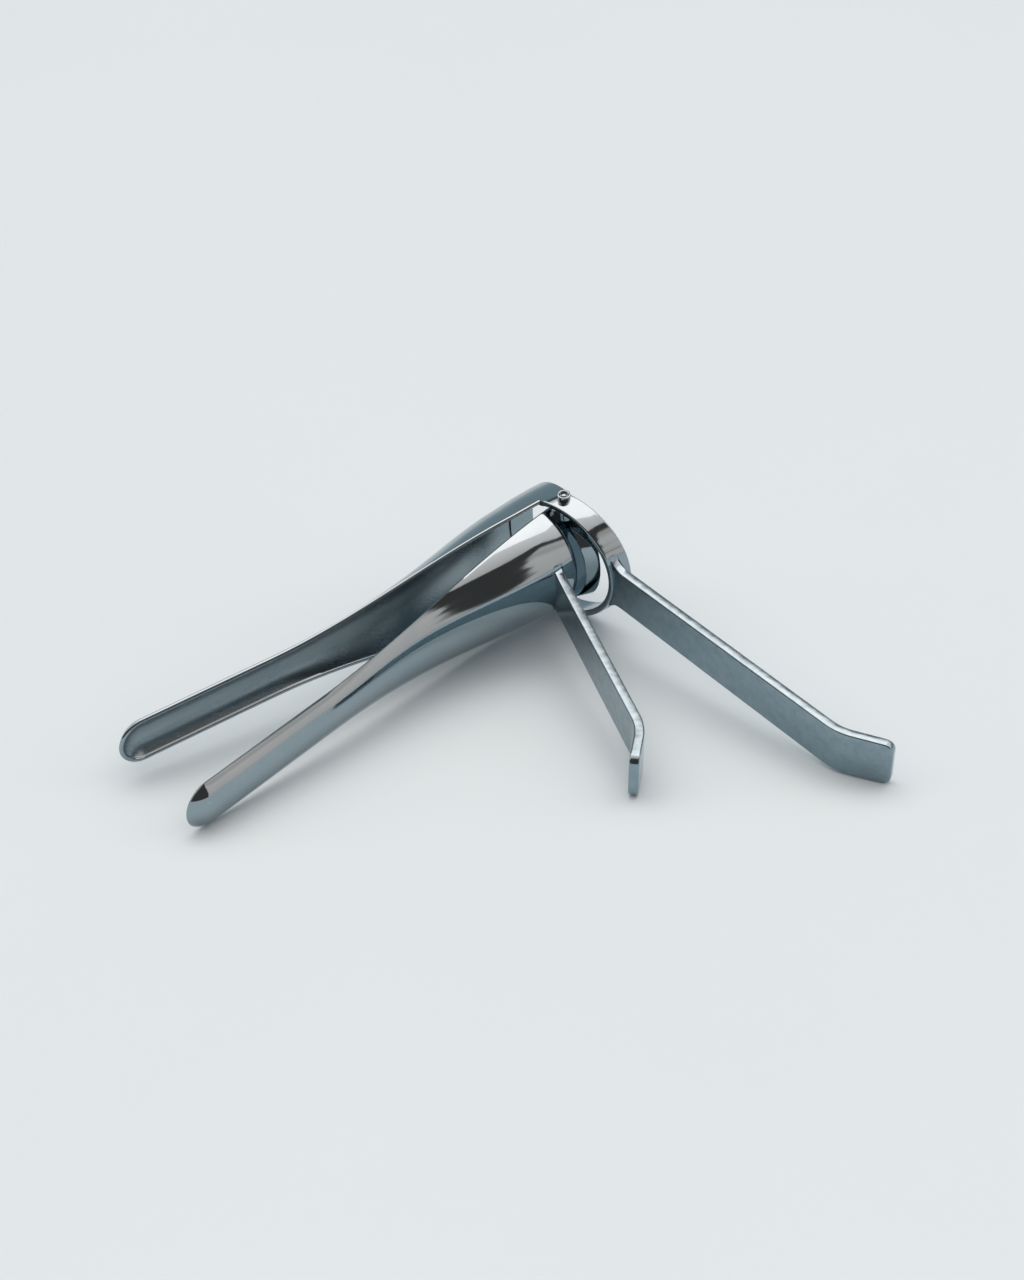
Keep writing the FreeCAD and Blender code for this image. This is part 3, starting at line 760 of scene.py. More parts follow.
@dataclass(frozen=True)
class HandleStrap:
    """Flat strap with a flared root, one bend and a rounded end.

    Attributes:
        name: Name of the object.
        bend_side: Which way the end is bent.
        lean: Heading of the strap from the half's X axis, in degrees.
        offset: Distance of the strap's middle from a line through the hinge.
        length: Distance from the hinge to the bend.
        end_length: Length of the bent end.
        end_angle: Angle of the bend, in degrees.
        hub: Station of the centre of the round form that the root flares onto.
        hub_radius: Radius of that form in the side view.
        seat: Gives the station where the strap meets what carries it, from the offset across
            the strap and the height.
        thickness: Thickness of the strap.
        root_height: Height of the strap at its root.
        end_height: Height of the strap at its end.
        flare: Radius of the flare at the root.
        corner: Radius of the corners of the end.
        bend_radius: Radius of the bend.
        edge: Rounding of the long edges.
        bend_margin: How far the close stations of the bend reach past it.
        seat_run: Length over which the faces even out the curve of the seat.
        points: Numbers of points along the flare, the strap up to the bend, the bend, the end
            and the corner.
        edge_points: Number of points across half an edge.
    """

    name: str
    bend_side: Side
    lean: float
    offset: float
    length: float
    end_length: float
    end_angle: float
    hub: float
    hub_radius: float
    seat: Callable[[float, float], float]
    thickness: float = 2.5
    root_height: float = 12.0
    end_height: float = 13.4
    flare: float = 3.2
    corner: float = 2.6
    bend_radius: float = 14.0
    edge: float = 0.45
    bend_margin: float = 1.0
    seat_run: float = 9.0
    points: tuple[int, int, int, int, int] = (15, 22, 16, 4, 14)
    edge_points: int = 6

    def reach(self) -> float:
        """Length of the strap along its path.

        Returns:
            Distance from the hinge to the end.
        """
        return self.length + self.bend_radius * math.radians(self.end_angle) + self.end_length

    def outline(self) -> tuple[np.ndarray, np.ndarray]:
        """Upper outline of the strap from its root to its end, with outward normals.

        Returns:
            Points and normals, as arrays of points by two: station and height.
        """
        root, end = self.root_height / 2, self.end_height / 2
        span = self.hub_radius + self.flare
        centre = np.array([
            self.hub + math.sqrt(span ** 2 - (root + self.flare) ** 2), root + self.flare,
        ])
        start = math.atan2(self.hub_radius / span * centre[1] - centre[1],
                           (self.hub - centre[0]) * self.flare / span)
        inward = arc((0, 0), (1, 1), start, -QUARTER, self.points[0])
        outward = arc((0, 0), (1, 1), QUARTER, 0, self.points[-1])[1:]
        flare = centre + self.flare * inward
        tail = self.reach() - self.corner
        marks = (
            centre[0], self.length - self.bend_margin,
            self.reach() - self.end_length + self.bend_margin, tail,
        )
        spans = zip(marks, marks[1:], self.points[1:])
        stations = np.concatenate([np.linspace(*span)[1:] for span in spans])
        heights = root + (end - root) * (stations - centre[0]) / (tail - centre[0])
        straight = np.stack([stations, heights], axis=1)
        flat = np.tile([0.0, 1.0], (len(straight), 1))
        corner = np.array([tail, end - self.corner]) + self.corner * outward
        return np.concatenate([flare, straight, corner]), np.concatenate([-inward, flat, outward])

    def bent(self, station: np.ndarray, across: np.ndarray, height: np.ndarray) -> np.ndarray:
        """Bends points of the straight strap and stands it on its half.

        Args:
            station: Distance along the strap.
            across: Offset across the thickness.
            height: Height along the hinge axis.

        Returns:
            Array of points by three in the half's frame.
        """
        side = self.bend_side.value
        full = math.radians(self.end_angle)
        turn = np.clip((station - self.length) / self.bend_radius, 0, full)
        over = np.maximum(station - self.length - self.bend_radius * full, 0)
        arm = self.bend_radius - side * across
        x = np.minimum(station, self.length) + arm * np.sin(turn) + over * math.cos(full)
        y = side * self.bend_radius - side * arm * np.cos(turn) + side * over * math.sin(full)
        lean = math.radians(self.lean)
        y = y + self.offset
        return np.stack([
            x * math.cos(lean) - y * math.sin(lean),
            x * math.sin(lean) + y * math.cos(lean),
            height,
        ], axis=-1)

    def face(self, inset: np.ndarray, across: float, shares: np.ndarray) -> np.ndarray:
        """Grid of one broad face.

        Args:
            inset: Upper outline without the rounded edge.
            across: Offset of the face from the strap's middle.
            shares: Heights of the points, as shares of the outline's height.

        Returns:
            Array of stations by heights by three.
        """
        near, far = inset[0, 0], inset[0, 0] + self.seat_run
        seats = np.array([self.seat(across, share * inset[0, 1]) for share in shares])
        rows = []
        for station, height in inset:
            stations = np.full(len(shares), station)
            if station < far:
                share = (station - near) / (far - near)
                stations = seats + (far - seats) * share
            rows.append(self.bent(stations, np.full(len(shares), across), shares * height))
        return np.array(rows)

    def edge_band(self, base: np.ndarray, normal: np.ndarray, shares: np.ndarray) -> np.ndarray:
        """Grid of the rounded edge that runs round the strap, from seat to seat.

        Args:
            base: Upper outline.
            normal: Its outward normals.
            shares: Heights of the points at the end, as shares of the outline's height.

        Returns:
            Array of outline points by points across by three.
        """
        mirror = np.array([1.0, -1.0])
        ends = np.stack([np.full(len(shares) - 2, base[-1, 0]), shares[1:-1] * base[-1, 1]], axis=1)
        path = np.concatenate([base, ends, base[::-1] * mirror])
        ways = np.concatenate([normal, np.tile([1.0, 0.0], (len(ends), 1)), normal[::-1] * mirror])
        turns = np.linspace(0, QUARTER, self.edge_points)
        inward = np.concatenate([1 - np.cos(turns[::-1]), 1 - np.cos(turns)])
        levels = (self.thickness / 2 - self.edge) + self.edge * np.sin(turns[::-1])
        levels = np.concatenate([levels, -levels[::-1]])
        rows = []
        for number, (point, way) in enumerate(zip(path, ways)):
            spots = point - self.edge * way * inward[:, None]
            stations, heights = spots.T
            if number in (0, len(path) - 1):
                stations = np.array([self.seat(*spot) for spot in zip(levels, heights)])
            rows.append(self.bent(stations, levels, heights))
        return np.array(rows)

    def build(self, half: HalfFrame, columns: int = 24) -> bpy.types.Object:
        """Builds the strap's mesh.

        Args:
            half: Frame of the half that carries the strap.
            columns: Number of segments across the height of each face.

        Returns:
            The mesh object.
        """
        base, normal = self.outline()
        inset = base - self.edge * normal
        shares = np.linspace(1, -1, columns + 1)
        shell = Shell(self.name, half)
        for across in (self.thickness / 2, -self.thickness / 2):
            shell.grid(self.face(inset, across, shares))
        shell.grid(self.edge_band(base, normal, shares))
        return shell.build()


@dataclass(frozen=True)
class Rivet:
    """Brazed bush through the collar and the rivet that turns in it.

    Attributes:
        bush_radius: Outer radius of the bush.
        bore_radius: Radius of its bore.
        seat: Inner end of the bush along the hinge axis.
        top: Outer end of the bush.
        bevel: Rounding of the bush's edges.
        pin_radius: Radius of the rivet.
        head_radius: Radius of the rivet's head inside the front blade.
        head_top: Outer face of the head.
        head_height: Thickness of the head.
        dome_radius: Radius of the bright dome at the rivet's outer end.
        dome_height: Height of the dome.
        sink: Depth of the dome below the bush, and of the groove round the dome.
        chamfer: Chamfer of the rivet's shaft.
        points: Numbers of points along a rim of the bush, the dome and the head's rounding.
    """

    bush_radius: float = 1.7
    bore_radius: float = 1.12
    seat: float = 16.65
    top: float = 19.7
    bevel: float = 0.2
    pin_radius: float = 1.1
    head_radius: float = 2.2
    head_top: float = 13.6
    head_height: float = 1.0
    dome_radius: float = 0.72
    dome_height: float = 0.432
    sink: float = 0.12
    chamfer: float = 0.06
    points: tuple[int, int, int] = (6, 9, 8)

    def bush_profile(self) -> np.ndarray:
        """Profile of the bush with rounded rims.

        Returns:
            Array of points by radius and height.
        """
        level, soft, count = self.top - self.bevel, (self.bevel, self.bevel), self.points[0]
        return np.concatenate([
            [(self.bore_radius, self.seat), (self.bush_radius, self.seat)],
            arc((self.bush_radius - self.bevel, level), soft, 0, QUARTER, count),
            arc((self.bore_radius + self.bevel, level), soft, QUARTER, 2 * QUARTER, count),
            [(self.bore_radius, self.seat)],
        ])

    def pin_profile(self) -> np.ndarray:
        """Profile of the rivet, from the dome to the inside of the head.

        Returns:
            Array of points by radius and height.
        """
        foot = self.top - self.sink - self.dome_height
        shoulder = foot - self.sink
        bottom = self.head_top - self.head_height
        soft = self.head_height / 2
        return np.concatenate([
            arc((0.0, foot), (self.dome_radius, self.dome_height), QUARTER, 0, self.points[1]),
            [
                (self.dome_radius, shoulder),
                (self.pin_radius - self.chamfer, shoulder),
                (self.pin_radius, shoulder - self.chamfer),
                (self.pin_radius, self.head_top),
                (self.head_radius, self.head_top),
            ],
            arc((self.head_radius - soft, bottom + soft), (soft, soft), 0, -QUARTER, self.points[2]),
            [(0.0, bottom)],
        ])

    def build(self, half: HalfFrame, sign: int, label: str) -> dict[str, bpy.types.Object]:
        """Builds one bush and its rivet.

        Args:
            half: Frame of the rear half.
            sign: 1 for the upper pair, -1 for the lower one.
            label: Start of the pieces' names.

        Returns:
            The two objects by CAD node name.
        """
        made = {}
        for kind, profile in (("bush", self.bush_profile()), ("pin", self.pin_profile())):
            shell = Shell(f"{label}_{kind}_turned", half)
            shell.lathe(profile * (1, sign))
            made[f"{label}_hinge_{kind}"] = shell.build()
        return made


class NodeTree:
    """Small helper that adds nodes to a tree and links them."""

    def __init__(self, tree: bpy.types.NodeTree) -> None:
        """Wraps a tree.

        Args:
            tree: Node tree to be filled.
        """
        self.tree = tree

    @classmethod
    def emptied(cls, owner: bpy.types.Material | bpy.types.World) -> "NodeTree":
        """Wraps the emptied node tree of a material or a world.

        Args:
            owner: Material or world that the tree belongs to.

        Returns:
            The wrapped tree.
        """
        owner.use_nodes = True
        owner.node_tree.nodes.clear()
        return cls(owner.node_tree)

    def add(
        self, kind: str, settings: dict[str, object] | None = None,
        sockets: dict[str | int, object] | None = None,
    ) -> bpy.types.Node:
        """Adds a node.

        Args:
            kind: Type of the node.
            settings: Properties of the node.
            sockets: Input values, or sockets to be linked, by input name or index.

        Returns:
            The node.
        """
        node = self.tree.nodes.new(kind)
        for key, value in (settings or {}).items():
            setattr(node, key, value)
        for key, value in (sockets or {}).items():
            if isinstance(value, bpy.types.NodeSocket):
                self.tree.links.new(value, node.inputs[key])
            else:
                node.inputs[key].default_value = value
        return node

    def math(self, operation: str, *operands: object) -> bpy.types.NodeSocket:
        """Adds a math node.

        Args:
            operation: Name of the operation.
            *operands: Numbers or sockets.

        Returns:
            The result's socket.
        """
        return self.add("ShaderNodeMath", {"operation": operation}, dict(enumerate(operands))).outputs[0]

    def noise(
        self, place: bpy.types.NodeSocket, scale: object, detail: float, roughness: float = 0.5
    ) -> bpy.types.NodeSocket:
        """Adds a noise texture.

        Args:
            place: Socket with the coordinates.
            scale: Scale of the noise, as a number or socket.
            detail: Number of finer layers.
            roughness: Strength of the finer layers.

        Returns:
            The value's socket.
        """
        return self.add("ShaderNodeTexNoise", sockets={
            "Vector": place, "Scale": scale, "Detail": detail, "Roughness": roughness,
        }).outputs["Fac"]

    def blend(self, factor: object, first: object, second: object) -> bpy.types.NodeSocket:
        """Mixes two colours.

        Args:
            factor: Share of the second colour, as a number or socket.
            first: First colour, as three numbers or a socket.
            second: Second colour, as three numbers or a socket.

        Returns:
            The colour's socket.
        """
        first, second = (
            colour if isinstance(colour, bpy.types.NodeSocket) else (*colour, 1)
            for colour in (first, second)
        )
        return self.add("ShaderNodeMix", {"data_type": "RGBA"}, {
            "Factor": factor, 6: first, 7: second,
        }).outputs[2]

    def spread(
        self, source: bpy.types.NodeSocket, given: tuple[object, object],
        wanted: tuple[float, float] = (0.0, 1.0), ends: str = "SMOOTHSTEP",
    ) -> bpy.types.NodeSocket:
        """Maps one span of values to another.

        Args:
            source: Socket with the value.
            given: Ends of the span that comes in, as numbers or sockets.
            wanted: Ends of the span that goes out.
            ends: Kind of interpolation, soft at the ends or linear.

        Returns:
            The mapped value's socket.
        """
        return self.add("ShaderNodeMapRange", {"interpolation_type": ends}, {
            "Value": source, "From Min": given[0], "From Max": given[1],
            "To Min": wanted[0], "To Max": wanted[1],
        }).outputs["Result"]

    def colours(
        self, source: bpy.types.NodeSocket, stops: Sequence[tuple[float, Triple]]
    ) -> bpy.types.NodeSocket:
        """Adds a ramp of colours.

        Args:
            source: Socket with the position.
            stops: Positions and linear colours.

        Returns:
            The colour's socket.
        """
        node = self.add("ShaderNodeValToRGB", sockets={"Fac": source})
        elements = node.color_ramp.elements
        while len(elements) < len(stops):
            elements.new(1.0)
        for element, (position, colour) in zip(elements, stops):
            element.position = position
            element.color = (*colour, 1)
        return node.outputs["Color"]

    def ramp(
        self, source: bpy.types.NodeSocket, stops: Sequence[tuple[float, float]]
    ) -> bpy.types.NodeSocket:
        """Adds a grey ramp.

        Args:
            source: Socket with the position.
            stops: Positions and values.

        Returns:
            The value's socket.
        """
        return self.colours(source, [(position, (value,) * 3) for position, value in stops])

    def surface(self, sockets: dict[str, object]) -> None:
        """Ends the tree of a material with its shader and output.

        Args:
            sockets: Input values of the shader, or sockets to be linked, by input name.
        """
        shader = self.add("ShaderNodeBsdfPrincipled", sockets=sockets)
        self.add("ShaderNodeOutputMaterial", sockets={"Surface": shader.outputs[0]})


class Effects:
    """Shader node groups that the finishes share."""

    def __init__(self) -> None:
        """Builds every group once."""
        self.lines = self.polish_lines()
        self.haze = self.handling_haze()
        self.wear = self.edge_wear()

    @staticmethod
    def group(name: str, inputs: dict[str, float], outputs: dict[str, str]) -> NodeTree:
        """Starts a node group with named sockets.

        Args:
            name: Name of the group.
            inputs: Default values of float inputs by name.
            outputs: Kinds of the output sockets by name.

        Returns:
            The group's tree.
        """
        tree = bpy.data.node_groups.new(name, "ShaderNodeTree")
        for label, value in inputs.items():
            socket = tree.interface.new_socket(label, in_out="INPUT", socket_type="NodeSocketFloat")
            socket.default_value = value
        for label, kind in outputs.items():
            tree.interface.new_socket(label, in_out="OUTPUT", socket_type=f"NodeSocket{kind}")
        return NodeTree(tree)

    def polish_lines(self) -> bpy.types.NodeTree:
        """Fine lines that a polishing wheel leaves along a piece.

        Returns:
            Group with a mask of the lines, a mask of the inner surfaces and a bumped normal.
        """
        sheet = self.group(
            "polish_lines", {"Density": 6.0, "Stretch": 0.03, "Relief": 0.02},
            {"Mask": "Float", "Inside": "Float", "Normal": "Vector"},
        )
        given = sheet.add("NodeGroupInput").outputs
        grain = sheet.add("ShaderNodeAttribute", {"attribute_name": "grain"}).outputs["Vector"]
        along, around, inside = sheet.add("ShaderNodeSeparateXYZ", sockets={0: grain}).outputs
        drawn = sheet.math("MULTIPLY", along, given["Stretch"])
        laid = sheet.add("ShaderNodeCombineXYZ", sockets={0: drawn, 1: around}).outputs[0]
        noise = sheet.noise(laid, given["Density"], detail=4.0, roughness=0.6)
        bump = sheet.add("ShaderNodeBump", sockets={
            "Strength": given["Relief"], "Distance": 0.0001, "Height": noise,
        }).outputs[0]
        mask = sheet.ramp(noise, [(0.38, 0.0), (0.62, 1.0)])
        sheet.add("NodeGroupOutput", sockets={"Mask": mask, "Inside": inside, "Normal": bump})
        return sheet.tree

    def handling_haze(self) -> bpy.types.NodeTree:
        """Cloudy film of handling and drying, with a few small specks.

        Returns:
            Group with a mask of the film and a mask of the specks.
        """
        sheet = self.group(
            "handling_haze", {"Size": 90.0, "Specks": 900.0, "Bare": 0.985},
            {"Film": "Float", "Specks": "Float"},
        )
        given = sheet.add("NodeGroupInput").outputs
        place = sheet.add("ShaderNodeTexCoord").outputs["Object"]
        clouds = sheet.noise(place, given["Size"], detail=5.0, roughness=0.55)
        film = sheet.ramp(clouds, [(0.35, 0.0), (0.7, 1.0)])
        cells = sheet.add("ShaderNodeTexVoronoi", sockets={"Vector": place, "Scale": given["Specks"]})
        near = sheet.ramp(cells.outputs["Distance"], [(0.05, 1.0), (0.12, 0.0)])
        drawn = sheet.add("ShaderNodeSeparateColor", sockets={0: cells.outputs["Color"]}).outputs[0]
        specks = sheet.math("MULTIPLY", near, sheet.math("GREATER_THAN", drawn, given["Bare"]))
        sheet.add("NodeGroupOutput", sockets={"Film": film, "Specks": specks})
        return sheet.tree

    def edge_wear(self) -> bpy.types.NodeTree:
        """Edges that are worn brighter by wiping and use.

        Returns:
            Group with a mask of the edges, broken up by noise.
        """
        sheet = self.group("edge_wear", {"Low": 0.52, "High": 0.62, "Break": 400.0}, {"Mask": "Float"})
        given = sheet.add("NodeGroupInput").outputs
        place = sheet.add("ShaderNodeTexCoord").outputs["Object"]
        point = sheet.add("ShaderNodeNewGeometry").outputs["Pointiness"]
        edges = sheet.spread(point, (given["Low"], given["High"]), ends="LINEAR")
        broken = sheet.math("ADD", sheet.noise(place, given["Break"], detail=3.0), 0.4)
        sheet.add("NodeGroupOutput", sockets={"Mask": sheet.math("MULTIPLY", edges, broken)})
        return sheet.tree


@dataclass(frozen=True)
class MetalFinish:
    """Polished plating of one kind of surface.

    Attributes:
        name: Name of the material and of its slot.
        colour: Linear colour of clean metal.
        film_colour: Linear colour where the film lies.
        film_size: Scale of the film's clouds.
        roughness: Roughness of clean metal.
        film_roughness: Extra roughness under the film.
        line_roughness: Extra roughness along the polishing lines.
        inner_roughness: Extra roughness inside a trough, where the wheel doesn't reach.
        density: Density of the polishing lines across the grain, per millimetre.
        stretch: Share of that density along the grain.
        relief: Depth of the polishing lines' relief.
        ripple: Depth of the plating's slow ripple.
        ripple_size: Scale of the ripple.
        wear_amount: How much of the worn edges' colour shows.
        wear_gain: How much brighter worn edges are.
        speck_amount: How much the specks darken the metal.
        speck_colour: Linear colour of the specks.
    """

    name: str
    colour: Triple
    film_colour: Triple
    film_size: float = 90.0
    roughness: float = 0.035
    film_roughness: float = 0.035
    line_roughness: float = 0.02
    inner_roughness: float = 0.2
    density: float = 6.0
    stretch: float = 0.03
    relief: float = 0.012
    ripple: float = 0.04
    ripple_size: float = 60.0
    wear_amount: float = 0.5
    wear_gain: float = 1.3
    speck_amount: float = 0.4
    speck_colour: Triple = (0.05, 0.055, 0.06)

    def build(self, effects: Effects) -> bpy.types.Material:
        """Builds the material.

        Args:
            effects: Node groups that the finishes share.

        Returns:
            The material.
        """
        made = bpy.data.materials.new(self.name)
        sheet = NodeTree.emptied(made)
        lines = sheet.add("ShaderNodeGroup", {"node_tree": effects.lines}, {
            "Density": self.density, "Stretch": self.stretch, "Relief": self.relief,
        }).outputs
        haze = sheet.add("ShaderNodeGroup", {"node_tree": effects.haze}, {
            "Size": self.film_size,
        }).outputs
        wear = sheet.add("ShaderNodeGroup", {"node_tree": effects.wear}).outputs
        rough = sheet.math("MULTIPLY_ADD", haze["Film"], self.film_roughness, self.roughness)
        rough = sheet.math("MULTIPLY_ADD", lines["Mask"], self.line_roughness, rough)
        rough = sheet.math("MULTIPLY_ADD", lines["Inside"], self.inner_roughness, rough)
        place = sheet.add("ShaderNodeTexCoord").outputs["Object"]
        ripple = sheet.add("ShaderNodeBump", sockets={
            "Strength": self.ripple, "Distance": 0.001, "Normal": lines["Normal"],
            "Height": sheet.noise(place, self.ripple_size, detail=1.0),
        }).outputs[0]
        colour = self.tint(sheet, haze, wear["Mask"])
        sheet.surface({"Base Color": colour, "Metallic": 1.0, "Roughness": rough, "Normal": ripple})
        return made

    def tint(
        self, sheet: NodeTree, haze: bpy.types.NodeOutputs, edges: bpy.types.NodeSocket
    ) -> bpy.types.NodeSocket:
        """Colour of the metal with its film, worn edges and specks.

        Args:
            sheet: The material's tree.
            haze: Outputs of the haze.
            edges: Mask of the worn edges.

        Returns:
            The colour's socket.
        """
        colour = sheet.blend(haze["Film"], self.colour, self.film_colour)
        worn = [min(1.0, self.wear_gain * part) for part in self.colour]
        colour = sheet.blend(sheet.math("MULTIPLY", edges, self.wear_amount), colour, worn)
        specks = sheet.math("MULTIPLY", haze["Specks"], self.speck_amount)
        return sheet.blend(specks, colour, self.speck_colour)


@dataclass(frozen=True)
class Softbox:
    """Rectangular soft lamp.

    Attributes:
        name: Name of the lamp.
        place: Its centre.
        aim: Point that it faces.
        size: Its width and height.
        power: Its power in watts.
        colour: Its linear colour.
        mirrored: Whether polished metal shows it.
    """

    name: str
    place: Triple
    aim: Triple
    size: tuple[float, float]
    power: float
    colour: Triple
    mirrored: bool = True

    def build(self) -> None:
        """Adds the lamp to the scene."""
        lamp = bpy.data.lights.new(self.name, "AREA")
        lamp.shape = "RECTANGLE"
        lamp.size, lamp.size_y = self.size
        lamp.energy = self.power
        lamp.color = self.colour
        made = linked(self.name, lamp)
        made.location = self.place
        facing = Vector(self.aim) - Vector(self.place)
        made.rotation_euler = facing.to_track_quat("-Z", "Y").to_euler()
        made.visible_glossy = self.mirrored


@dataclass(frozen=True)
class Room:
    """What the plating mirrors: a pale room with a ragged dark gap behind the viewer.

    A direction's share is its part of the half turn about the X axis, from the floor behind the
    object over the ceiling to the floor before it. Its side is its X part.

    Attributes:
        stops: Linear colours of the room by share.
        gap_colour: Linear colour of the gap.
        gap_start: Shares where the gap starts, at the two sides of start_side.
        start_side: Sides between which the start of the gap climbs.
        gap_side: Sides where the gap ends, at the two shares of side_share.
        side_share: Shares between which the end of the gap moves out.
        full_below: Share below which the gap has no end at the side.
        ragged: How far noise moves the outline of the gap.
        ragged_size: Scale of that noise.
        start_blur: Width of the gap's soft edge at its start.
        side_blur: Width of the gap's soft edge at its side.
    """

    stops: tuple[tuple[float, Triple], ...] = (
        (0.0, (0.56, 0.63, 0.67)),
        (0.06, (0.38, 0.46, 0.50)),
        (0.245, (0.36, 0.45, 0.49)),
        (0.262, (0.10, 0.10, 0.10)),
        (0.275, (0.10, 0.10, 0.10)),
        (0.29, (1.75, 1.50, 1.40)),
        (0.45, (1.85, 1.58, 1.48)),
        (0.50, (1.75, 1.48, 1.38)),
        (0.58, (1.30, 1.10, 1.02)),
        (0.67, (0.85, 0.70, 0.64)),
        (0.72, (1.15, 0.97, 0.90)),
        (1.0, (0.98, 0.83, 0.77)),
    )
    gap_colour: Triple = (0.09, 0.08, 0.075)
    gap_start: tuple[float, float] = (0.665, 0.578)
    start_side: tuple[float, float] = (0.48, 0.66)
    gap_side: tuple[float, float] = (0.70, 0.85)
    side_share: tuple[float, float] = (0.62, 0.89)
    full_below: float = 0.628
    ragged: float = 0.014
    ragged_size: float = 7.0
    start_blur: float = 0.012
    side_blur: float = 0.02

    def gap(
        self, sheet: NodeTree, place: bpy.types.NodeSocket, side: bpy.types.NodeSocket,
        share: bpy.types.NodeSocket,
    ) -> bpy.types.NodeSocket:
        """Mask of the dark gap.

        Args:
            sheet: The world's tree.
            place: Direction that is looked up.
            side: Its side.
            share: Its share.

        Returns:
            The mask's socket.
        """
        noise = sheet.noise(place, self.ragged_size, detail=5.0)
        ragged = sheet.spread(noise, (0.3, 0.7), (-self.ragged, self.ragged))
        start = sheet.spread(side, self.start_side, self.gap_start)
        beyond = sheet.math("SUBTRACT", sheet.math("ADD", share, ragged), start)
        end = sheet.spread(share, self.side_share, self.gap_side)
        within = sheet.math("SUBTRACT", end, sheet.math("ADD", side, ragged))
        within = sheet.math("MAXIMUM", within, sheet.math("SUBTRACT", self.full_below, share))
        return sheet.math(
            "MULTIPLY", sheet.spread(beyond, (0.0, self.start_blur)),
            sheet.spread(within, (0.0, self.side_blur)),
        )

    def build(self) -> None:
        """Builds the world."""
        world = bpy.data.worlds.new("studio")
        bpy.context.scene.world = world
        sheet = NodeTree.emptied(world)
        place = sheet.add("ShaderNodeTexCoord").outputs["Generated"]
        side, depth, height = sheet.add("ShaderNodeSeparateXYZ", sockets={0: place}).outputs
        share = sheet.math("DIVIDE", sheet.math("ARCTAN2", height, depth), math.pi)
        gap = self.gap(sheet, place, side, share)
        colour = sheet.blend(gap, sheet.colours(share, self.stops), self.gap_colour)
        light = sheet.add("ShaderNodeBackground", sockets={"Color": colour, "Strength": 1.0})
        sheet.add("ShaderNodeOutputWorld", sockets={"Surface": light.outputs[0]})


@dataclass(frozen=True)
class Studio:
    """Floor, lamps, room and camera.

    Attributes:
        floor_colour: Linear colour of the floor.
        floor_shade: Darkest share of that colour.
        floor_roughness: Roughness of the floor.
        floor_reach: Distance from the middle of the floor to its edges.
        floor_level: Height of the floor, just below the object.
        room: What the plating mirrors.
        lamps: The soft lamps.
        camera_place: Place of the camera.
        camera_forward: Direction that the camera looks in.
        camera_up: Direction of the picture's upper edge.
        lens: Focal length for the picture's height.
        picture_height: Height of the camera's picture, in millimetres.
    """

    floor_colour: Triple = (0.57, 0.70, 0.76)
    floor_shade: float = 0.96
    floor_roughness: float = 0.9
    floor_reach: float = 3.0
    floor_level: float = -0.00005
    room: Room = Room()
    lamps: tuple[Softbox, ...] = (
        Softbox(
            "overhead", place=(0.0, 0.45, 1.3), aim=(0.0, 0.45, 0.0), size=(1.6, 0.9), power=5.6,
            colour=(1.0, 0.83, 0.77),
        ),
        Softbox(
            "fill", place=(0.1, -1.0, 0.9), aim=(0.0, 0.0, 0.0), size=(1.4, 1.0), power=5.0,
            colour=(1.0, 0.86, 0.80), mirrored=False,
        ),
    )
    camera_place: Triple = (0.0092, -0.6671, 0.4965)
    camera_forward: Triple = (-0.0094, 0.8128, -0.5825)
    camera_up: Triple = (0.0111, 0.5825, 0.8127)
    lens: float = 93.7
    picture_height: float = 36.0

    def floor(self) -> bpy.types.Object:
        """Builds the plain pale floor.

        Returns:
            The floor object.
        """
        mesh = bpy.data.meshes.new("floor")
        work = bmesh.new()
        bmesh.ops.create_grid(work, x_segments=8, y_segments=8, size=self.floor_reach)
        work.to_mesh(mesh)
        work.free()
        made = linked("floor", mesh)
        made.location.z = self.floor_level
        paper = bpy.data.materials.new("floor_paper")
        sheet = NodeTree.emptied(paper)
        place = sheet.add("ShaderNodeTexCoord").outputs["Object"]
        shaded = [self.floor_shade * part for part in self.floor_colour]
        noise = sheet.noise(place, scale=5.0, detail=6.0)
        pale = sheet.blend(noise, self.floor_colour, shaded)
        sheet.surface({"Base Color": pale, "Roughness": self.floor_roughness})
        mesh.materials.append(paper)
        return made

    def camera(self) -> None:
        """Adds the camera at the photograph's viewing angle."""
        forward = Vector(self.camera_forward).normalized()
        right = forward.cross(Vector(self.camera_up)).normalized()
        up = right.cross(forward)
        turn = Matrix((right, up, -forward)).transposed().to_4x4()
        lens = bpy.data.cameras.new("camera")
        lens.sensor_fit = "VERTICAL"
        lens.sensor_height = self.picture_height
        lens.lens = self.lens
        lens.clip_end = 20.0
        made = linked("camera", lens)
        made.matrix_world = Matrix.Translation(Vector(self.camera_place)) @ turn
        bpy.context.scene.camera = made

    def build(self) -> bpy.types.Object:
        """Builds the studio round the object.

        Returns:
            The floor object.
        """
        floor = self.floor()
        for lamp in self.lamps:
            lamp.build()
        self.room.build()
        self.camera()
        return floor


